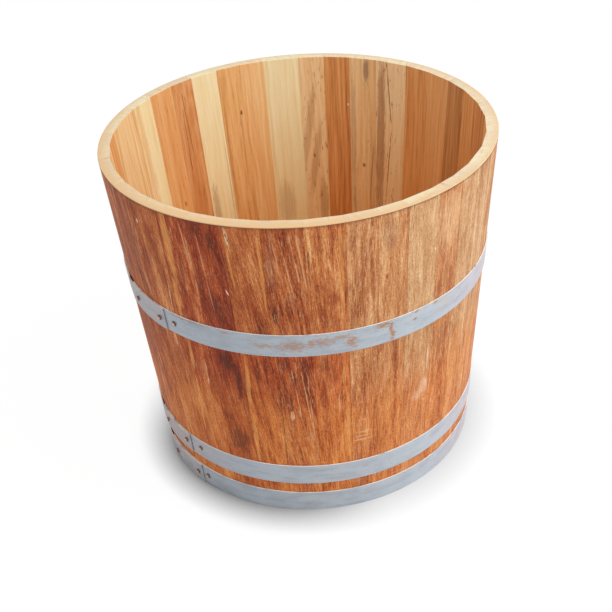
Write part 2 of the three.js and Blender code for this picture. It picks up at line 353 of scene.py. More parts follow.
class Bench:
    """A material's node tree being wired. Each method adds one or two nodes and gives what comes out."""

    def __init__(self, name: str) -> None:
        """Starts an empty material.

        Args:
            name: The material's name.
        """
        self.material = bpy.data.materials.new(name)
        self.material.use_nodes = True
        self.tree = self.material.node_tree
        self.tree.nodes.clear()

    def add(
        self, kind: str, inputs: dict[str | int, object] | None = None, **settings: object,
    ) -> bpy.types.Node:
        """Adds a node.

        Args:
            kind: The node's type, without its ShaderNode prefix.
            inputs: A socket or a value for each input, by name or number.
            settings: The node's own properties.

        Returns:
            The node.
        """
        node = self.tree.nodes.new("ShaderNode" + kind)
        for setting, value in settings.items():
            setattr(node, setting, value)
        for key, value in (inputs or {}).items():
            if isinstance(value, bpy.types.NodeSocket):
                self.tree.links.new(value, node.inputs[key])
            else:
                node.inputs[key].default_value = value
        return node

    def place(self, origin: Triple = (0, 0, 0), turn: Triple = (0, 0, 0)) -> Socket:
        """Object coordinates, read from an origin of their own and turned back to it."""
        coordinates = self.add("TexCoord").outputs["Object"]
        return self.frame_of(coordinates, origin, turn, (1, 1, 1))

    def frame_of(self, vector: Socket, origin: Triple, turn: Triple, scale: Triple) -> Socket:
        """A vector as seen from a frame with that origin, turn and unit lengths."""
        inputs = {"Vector": vector, "Location": origin, "Rotation": turn, "Scale": scale}
        return self.add("Mapping", inputs, vector_type="TEXTURE").outputs[0]

    def parts(self, vector: Socket) -> tuple[Socket, Socket, Socket]:
        """The three parts of a vector."""
        x, y, z = self.add("SeparateXYZ", {0: vector}).outputs
        return x, y, z

    def whole(self, x: Socket | float, y: Socket | float, z: Socket | float) -> Socket:
        """A vector from its three parts."""
        return self.add("CombineXYZ", {0: x, 1: y, 2: z}).outputs[0]

    def math(
        self, operation: str, a: Socket | float, b: Socket | float = 0.0, c: Socket | float = 0.0,
    ) -> Socket:
        """One sum on up to three numbers."""
        return self.add("Math", {0: a, 1: b, 2: c}, operation=operation).outputs[0]

    def times(self, a: Socket | float, b: Socket | float) -> Socket:
        """The product of two numbers."""
        return self.math("MULTIPLY", a, b)

    def waver(self, value: Socket | float, noise: Socket, amount: float) -> Socket:
        """A value that noise shifts either way."""
        return self.math("MULTIPLY_ADD", self.math("SUBTRACT", noise, 0.5), amount, value)

    def vector(self, operation: str, a: Socket, b: Socket | Triple = (0, 0, 0)) -> Socket:
        """One sum on two vectors."""
        node = self.add("VectorMath", {0: a, 1: b}, operation=operation)
        return node.outputs["Value" if operation in ("LENGTH", "DOT_PRODUCT") else "Vector"]

    def grain(
        self, vector: Socket, size: Triple, seed: float, detail: float = 3.0, rough: float = 0.6,
    ) -> Socket:
        """Noise whose blotches have a given size.

        Args:
            vector: Where the noise is read.
            size: Of its blotches along each axis, in metres.
            seed: Makes it its own.
            detail: How many finer layers it has.
            rough: How strong the finer layers are.

        Returns:
            The noise, about 0.5 on average.
        """
        stretched = self.vector("DIVIDE", vector, size)
        inputs = {"Vector": stretched, "W": seed, "Scale": 1.0, "Detail": detail, "Roughness": rough}
        return self.add("TexNoise", inputs, noise_dimensions="4D").outputs[0]

    def blend(self, start: float, *layers: tuple[Socket, float]) -> Socket:
        """A start value, with each layer added by how far it departs from one half.

        Args:
            start: The value where every layer is one half.
            layers: Each layer and its weight.

        Returns:
            The sum.
        """
        total: Socket | float = start - sum(weight for _, weight in layers) / 2
        for layer, weight in layers:
            total = self.math("MULTIPLY_ADD", layer, weight, total)
        return total

    def step(self, value: Socket, low: float, high: float) -> Socket:
        """A smooth step from 0 to 1.

        Args:
            value: The value.
            low: Where the step is 0. It may be the higher of the two.
            high: Where the step is 1.

        Returns:
            The step.
        """
        inputs: dict[str | int, object] = {"Value": value, "From Min": low, "From Max": high}
        if low > high:
            inputs.update({"From Min": high, "From Max": low, "To Min": 1.0, "To Max": 0.0})
        return self.add("MapRange", inputs, interpolation_type="SMOOTHSTEP").outputs[0]

    def ramp(self, value: Socket, stops: list[tuple[float, Colour]]) -> Socket:
        """A colour from a scale of tones.

        Args:
            value: The place on the scale.
            stops: The scale: each stop and its colour.

        Returns:
            The colour.
        """
        node = self.add("ValToRGB", {0: value})
        scale = node.color_ramp.elements
        while len(scale) < len(stops):
            scale.new(1.0)
        for element, (position, colour) in zip(scale, stops):
            element.position = position
            element.color = colour
        return node.outputs[0]

    def mix(
        self, amount: Socket | float, under: Socket | Colour, over: Socket | Colour, how: str = "MIX",
    ) -> Socket:
        """One colour laid over another."""
        node = self.add("Mix", {0: amount, 6: under, 7: over}, data_type="RGBA", blend_type=how)
        return node.outputs[2]

    def blot(self, local: Socket, reach: float, fray: tuple[Socket, float], low: float) -> Socket:
        """How much a ragged blot covers.

        Args:
            local: Coordinates in which the blot is a ball of radius 1 round the origin.
            reach: Where its smooth fall ends, in those coordinates.
            fray: The noise that frays it, and how strongly.
            low: Where its edge begins. A higher value makes it smaller.

        Returns:
            The cover, from 0 to 1.
        """
        near = self.step(self.vector("LENGTH", local), reach, 0.0)
        return self.step(self.math("ADD", near, self.blend(0.0, fray)), low, 0.75)

    def relief(self, height: Socket, depth: float, strength: float) -> Socket:
        """A bumped normal: the height is from 0 to 1, and the depth is in metres."""
        return self.add("Bump", {"Height": height, "Distance": depth, "Strength": strength}).outputs[0]

    def finish(self, **sockets: Socket | Colour | float) -> bpy.types.Material:
        """Closes the material with one Principled surface.

        Args:
            sockets: Its inputs, with underscores in place of spaces.

        Returns:
            The material.
        """
        inputs = {key.replace("_", " "): value for key, value in sockets.items()}
        shader = self.add("BsdfPrincipled", inputs)
        self.add("OutputMaterial", {"Surface": shader.outputs[0]})
        return self.material


# --- Wood ---

WOOD_SHINE = 0.2
RAW_STOPS = (0.12, 0.5, 0.88)
STAIN_STOPS = (0.1, 0.45, 0.68, 0.95)


class Timber(Enum):
    """Tones of raw wood, each from its dark grain to its pale grain."""

    CREAM = (0xDEBC80, 0xF3DEA6, 0xFAEEC2)
    STRAW = (0xCE9860, 0xEEC48A, 0xF8DCAC)
    HONEY = (0xBE8046, 0xECB472, 0xF6D098)
    OCHRE = (0xB06C38, 0xE2A060, 0xF0BE84)
    RUSSET = (0x96562E, 0xD28C52, 0xE6AE76)
    UMBER = (0x945A34, 0xC88C54, 0xDEAC78)


class Stain(Enum):
    """Tones of stained and weathered wood, from the stain in the hollows to the worn fibres."""

    MAHOGANY = (0x621B0E, 0x953B1E, 0xB6572D, 0xE29057)
    CHESTNUT = (0x6C2611, 0xAC552A, 0xC6743F, 0xE5A268)
    COPPERY = (0x813518, 0xC26F3B, 0xD88F55, 0xF4C288)
    AMBER = (0x8F4927, 0xC2804E, 0xD99E6A, 0xF2C996)
    WHEAT = (0x995F37, 0xC89363, 0xDAAE80, 0xEFD3A8)
    OLIVE = (0x693318, 0xA65E35, 0xBF7D4A, 0xD9A46B)
    WASHED = (0x8D3911, 0xCD6F30, 0xE08941, 0xF1AD64)


class Figure(Enum):
    """Where the heart of the log lay, seen from the stave's face: across and behind it in metres, and how
    far it drifts across and behind per metre of height."""

    STRAIGHT = (0.11, 0.03, 0.0, 0.0)
    SLANTED = (0.09, 0.03, 0.05, 0.02)
    CATHEDRAL = (0.004, 0.012, 0.0, 0.09)
    ARCHED = (-0.006, 0.055, 0.01, -0.09)


class Kind(Enum):
    """What a mark leaves behind: its colour, and how much its edge frays."""

    DARK = (0x5A261A, 2.4)
    RED = (0x983E1C, 2.6)
    GREY = (0x8A7262, 1.3)
    GOLD = (0xDE9450, 2.0)
    PALE = (0xE8BC90, 2.6)
    BROWN = (0x9A5C30, 1.2)
    WHITE = (0xFAF0DE, 1.2)
    RUST = (0xA86C3C, 4.5)
    SCUFF = (0xCFC4B4, 3.0)


@dataclass(frozen=True)
class Mark:
    """A mark on one face of a stave or on a hoop.

    Attributes:
        kind: What it is.
        angle: Its middle, in degrees round the tub.
        height: Its middle above the ground, in millimetres.
        width: Round the tub, in millimetres.
        length: Up the wall, in millimetres.
        strength: From 0 to 1.
        lean: How far its top leans counter-clockwise round the tub, in degrees.
    """

    kind: Kind
    angle: float
    height: float
    width: float
    length: float
    strength: float = 0.7
    lean: float = 0.0


@dataclass(frozen=True)
class Plank:
    """One stave's own frame of reference: X out of its face, Y across it and Z along it.

    Attributes:
        wall: The wall that it is part of.
        number: Counted from 1.
        start: The angle of the joint before it.
        end: The angle of the joint after it.
    """

    wall: Wall
    number: int
    start: float
    end: float

    @property
    def middle(self) -> float:
        """The angle of its centre line."""
        return (self.start + self.end) / 2

    @property
    def half_angle(self) -> float:
        """Half the angle that it takes up, in radians."""
        return math.radians(self.end - self.start) / 2

    def place(self, bench: Bench) -> Socket:
        """Adds the nodes that read its own frame of reference."""
        foot = self.wall.point(self.middle, 0.0)
        return bench.place(tuple(foot), (0.0, self.wall.lean, math.radians(self.middle)))

    def marked(
        self,
        bench: Bench,
        place: Socket,
        colour: Socket,
        grain: Socket,
        marks: tuple[Mark, ...],
        depth: float,
    ) -> Socket:
        """Lays the marks of one face over its colour.

        Args:
            bench: The material being wired.
            place: The stave's own coordinates.
            colour: The colour so far.
            grain: The fibres, which show through the marks.
            marks: The marks.
            depth: How far the face lies behind the outside of the wall.

        Returns:
            The marked colour.
        """
        fray = bench.grain(place, (0.004, 0.0022, 0.016), self.number * 1.9, 3.0, 0.7)
        shade = bench.blend(1.0, (grain, 1.6))
        for mark in marks:
            code, frayed = mark.kind.value
            height = mark.height * MM
            turn = math.radians(signed_turn(mark.angle - self.middle))
            across = (self.wall.radius(height) - depth) * math.sin(turn)
            centre = (0.0, across, height / math.cos(self.wall.lean))
            scale = (1.0, mark.width * MM / 2, mark.length * MM / 2)
            local = bench.frame_of(place, centre, (math.radians(-mark.lean), 0.0, 0.0), scale)
            cover = bench.blot(local, 1.7, (fray, frayed), 0.2)
            tone = bench.mix(1.0, linear(code), shade, "MULTIPLY")
            colour = bench.mix(bench.times(cover, mark.strength), colour, tone)
        return colour


@dataclass(frozen=True)
class RawWood:
    """The bare inside of a stave.

    Attributes:
        timber: Its tones.
        marks: Knots, stains and streaks.
        figure: How its growth rings run.
        lift: How much paler than the middle tone, from -1 to 1.
        drift: How much paler it grows from one edge to the other.
        painted_foot_shade: The tint of the painted shade that darkens and warms the inside towards its foot,
            where less light reaches.
    """

    timber: Timber
    marks: tuple[Mark, ...] = ()
    figure: Figure = Figure.STRAIGHT
    lift: float = 0.0
    drift: float = 0.0
    painted_foot_shade: Colour = (1.0, 0.86, 0.62, 1.0)

    def dress(self, plank: Plank) -> bpy.types.Material:
        """Makes the material of one stave's inside.

        Args:
            plank: The stave.

        Returns:
            The material.
        """
        bench = Bench(f"stave_{plank.number:02d}_raw")
        place = plank.place(bench)
        seed = plank.number * 7.31
        rings = growth_rings(bench, place, self.figure, seed)
        clouds = bench.grain(place, (0.03, 0.01, 0.14), seed + 1, 2.0)
        stripes = bench.grain(place, (0.02, 0.0035, 0.3), seed + 5, 2.0)
        fibres = bench.grain(place, (0.003, 0.0012, 0.04), seed + 2, 4.0, 0.65)
        pores = bench.grain(place, (0.0012, 0.0008, 0.009), seed + 3, 1.0)
        tone = bench.blend(
            0.5 + self.lift / 2, (rings, 0.6), (clouds, 0.7), (stripes, 0.7), (fibres, 0.7),
        )
        _, across, along = bench.parts(place)
        tone = bench.math("MULTIPLY_ADD", across, self.drift * 14, tone)
        colour = bench.ramp(tone, scale_of(RAW_STOPS, self.timber.value))
        # Painted shade: the inside is tinted dark and warm towards its foot, as where less light reaches.
        deep = bench.times(bench.step(along, 0.42, 0.1), 0.6)
        colour = bench.mix(deep, colour, self.painted_foot_shade, "MULTIPLY")
        colour = plank.marked(bench, place, colour, fibres, self.marks, plank.wall.thickness)
        pore_depth = bench.step(pores, 0.36, 0.28)
        colour = bench.mix(bench.times(pore_depth, 0.22), colour, linear(self.timber.value[0]))
        height = bench.blend(0.5, (fibres, 1.0), (rings, 0.3), (pore_depth, -0.5))
        return bench.finish(
            Base_Color=colour,
            Roughness=bench.blend(0.62, (fibres, -0.3)),
            Specular_IOR_Level=WOOD_SHINE,
            Normal=bench.relief(height, 0.3 * MM, 0.5),
        )


@dataclass(frozen=True)
class StainedWood:
    """The stained and weathered outside of a stave.

    Attributes:
        stain: Its tones.
        marks: Stains, bare stripes and scuffs.
        figure: How its growth rings run.
        lift: How much paler than the middle tone, from -1 to 1.
        mottle: How strongly its tone changes from place to place.
        streaks: How strong the long worn fibres are.
        dashes: How strong the short worn fibres are.
        slant: How far the fibres lean, in degrees.
        band: How much the wall is darkened below the middle hoop.
        wash: How far the foot is washed out to the bright tones.
        band_tint: The tint laid on the wall below the middle hoop.
        rim_line: The tone of the dark line under the rim.
    """

    stain: Stain
    marks: tuple[Mark, ...] = ()
    figure: Figure = Figure.STRAIGHT
    lift: float = 0.0
    mottle: float = 1.0
    streaks: float = 0.45
    dashes: float = 0.4
    slant: float = 0.0
    band: float = 0.15
    wash: float = 0.75
    band_tint: Colour = (1.0, 0.74, 0.62, 1.0)
    rim_line: int = 0x6A3A26

    def dress(self, plank: Plank) -> bpy.types.Material:
        """Makes the material of one stave's outside.

        Args:
            plank: The stave.

        Returns:
            The material.
        """
        bench = Bench(f"stave_{plank.number:02d}_stained")
        place = plank.place(bench)
        seed = plank.number * 5.17
        wander = bench.grain(place, (0.05, 0.03, 0.2), seed, 2.0)
        depth, across, along = bench.parts(place)
        across = bench.waver(across, wander, 8 * MM)
        across = bench.math("MULTIPLY_ADD", along, math.tan(math.radians(self.slant)), across)
        bent = bench.whole(depth, across, along)
        rings = growth_rings(bench, bent, self.figure, seed + 1)
        patches = bench.grain(bent, (0.05, 0.012, 0.07), seed + 4, 3.0)
        stripes = bench.grain(bent, (0.02, 0.0042, 0.16), seed + 2, 3.0)
        fibres = bench.grain(bent, (0.002, 0.001, 0.018), seed + 3, 3.0, 0.7)
        strokes = bench.grain(bent, (0.003, 0.0011, 0.035), seed + 7, 2.0, 0.6)
        dashes = bench.grain(bent, (0.002, 0.001, 0.011), seed + 8, 1.0)
        flecks = bench.grain(bent, (0.002, 0.0013, 0.003), seed + 5, 2.0)
        tone = bench.blend(
            0.5 + self.lift / 2, (rings, 0.35), (patches, 1.4 * self.mottle), (stripes, 0.55 * self.mottle),
            (fibres, 1.3), (flecks, 0.9),
        )
        ragged = bench.blend(0.0, (patches, 0.08), (strokes, 0.06))
        ragged = bench.math("ADD", ragged, along)
        # The wall is darkened and reddened in a band below the middle hoop.
        band = bench.times(bench.step(ragged, 0.16, 0.2), bench.step(along, 0.275, 0.262))
        tone = bench.math("MULTIPLY_ADD", band, -0.12 * self.band, tone)
        colour = bench.ramp(tone, scale_of(STAIN_STOPS, self.stain.value))
        washed = bench.ramp(tone, scale_of(STAIN_STOPS, Stain.WASHED.value))
        colour = bench.mix(bench.times(band, min(self.band, 1.0)), colour, self.band_tint, "MULTIPLY")
        colour = bench.mix(bench.times(bench.step(ragged, 0.25, 0.15), self.wash), colour, washed)
        colour = plank.marked(bench, place, colour, fibres, self.marks, 0.0)
        hollow = bench.times(bench.step(strokes, 0.42, 0.28), 0.45)
        hollow = bench.math("MAXIMUM", hollow, bench.times(bench.step(dashes, 0.38, 0.26), 0.35))
        colour = bench.mix(hollow, colour, linear(self.stain.value[0]))
        bare = bench.times(bench.step(strokes, 0.56, 0.72), 0.6 * self.streaks)
        bare = bench.math("MAXIMUM", bare, bench.times(bench.step(dashes, 0.6, 0.75), self.dashes))
        colour = bench.mix(bare, colour, linear(self.stain.value[-1]))
        top = plank.wall.height / math.cos(plank.wall.lean)
        edge = bench.math("MULTIPLY_ADD", strokes, 12 * MM, along)
        edge = bench.times(bench.step(edge, top + MM, top + 5 * MM), 0.6)
        colour = bench.mix(edge, colour, linear(self.rim_line))
        height = bench.blend(0.5, (fibres, 0.8), (strokes, 0.8), (dashes, 0.5))
        return bench.finish(
            Base_Color=colour,
            Roughness=bench.blend(0.6, (strokes, 0.4)),
            Specular_IOR_Level=WOOD_SHINE,
            Normal=bench.relief(height, 0.4 * MM, 0.6),
        )


def growth_rings(bench: Bench, place: Socket, figure: Figure, seed: float) -> Socket:
    """Growth rings cut through by whatever face reads them: noise that changes only with the distance from
    the heart of the log.

    Args:
        bench: The material being wired.
        place: The stave's own coordinates.
        figure: Where the heart lay.
        seed: Makes this log its own.

    Returns:
        The rings, about 0.5 on average.
    """
    across, behind, drift_across, drift_behind = figure.value
    sway = bench.grain(place, (0.08, 0.05, 0.16), seed + 20, 2.0)
    depth_at, across_at, along_at = bench.parts(place)
    sideways = bench.math("MULTIPLY_ADD", along_at, -drift_across, bench.math("SUBTRACT", across_at, across))
    sideways = bench.math("MULTIPLY_ADD", sway, 0.035, sideways)
    backwards = bench.math("MULTIPLY_ADD", along_at, drift_behind, bench.math("ADD", depth_at, behind))
    reach = bench.vector("LENGTH", bench.whole(sideways, backwards, 0.0))
    ring = bench.math("ADD", bench.math("DIVIDE", reach, 5.5 * MM), seed)
    inputs = {"W": ring, "Scale": 1.0, "Detail": 3.0, "Roughness": 0.6}
    return bench.add("TexNoise", inputs, noise_dimensions="1D").outputs[0]


@dataclass(frozen=True)
class EndGrain:
    """The sawn end of a stave, at the rim and the foot.

    Attributes:
        pale: The tone between the rings.
        dark: The tone of the rings and the saw's marks.
        stained: The tone where the outside's stain has run into it.
        stained_side: The angle of the side on which it has.
        tint: How much of the stave's own tone shows.
    """

    pale: int = 0xE4DEC4
    dark: int = 0xC8A276
    stained: int = 0xE0BC8E
    stained_side: float = 238.0
    tint: float = 0.3

    def dress(self, plank: Plank, timber: Timber) -> bpy.types.Material:
        """Makes the material of one stave's ends.

        Args:
            plank: The stave.
            timber: Its timber, which tints the ends.

        Returns:
            The material.
        """
        bench = Bench(f"stave_{plank.number:02d}_end")
        place = plank.place(bench)
        seed = plank.number * 3.7
        rings = growth_rings(bench, place, Figure.STRAIGHT, seed)
        pores = bench.grain(place, (0.0008, 0.0008, 0.02), seed + 1, 1.0)
        saw = bench.grain(place, (0.0009, 0.02, 0.1), seed + 2, 2.0)
        clouds = bench.grain(place, (0.01, 0.02, 0.1), seed + 3, 3.0)
        tone = bench.blend(0.62, (rings, 0.8), (pores, 0.4), (saw, 0.5), (clouds, 1.1))
        own = linear(timber.value[1])
        tinted = tuple(a + (b - a) * self.tint for a, b in zip(linear(self.pale), own))
        colour = bench.ramp(tone, [(0.05, linear(self.dark)), (0.6, tinted), (1.0, linear(self.pale))])
        run = max(0.0, math.cos(math.radians(plank.middle - self.stained_side)))
        outer = bench.step(bench.parts(place)[0], -16 * MM, 0.0)
        run_in = bench.math("MULTIPLY_ADD", outer, 0.8, 0.75 * run - 0.25)
        run_in = bench.waver(run_in, clouds, 2.0)
        colour = bench.mix(run_in, colour, linear(self.stained))
        height = bench.blend(0.5, (saw, 0.8), (pores, 0.6))
        return bench.finish(
            Base_Color=colour,
            Roughness=0.68,
            Specular_IOR_Level=WOOD_SHINE,
            Normal=bench.relief(height, 0.2 * MM, 0.5),
        )


@dataclass(frozen=True)
class StaveFinish:
    """One stave's two faces.

    Attributes:
        inside: Its bare inside.
        outside: Its stained outside.
    """

    inside: RawWood
    outside: StainedWood


DARK, RED, GREY, GOLD, PALE, BROWN, WHITE, RUST, SCUFF = Kind

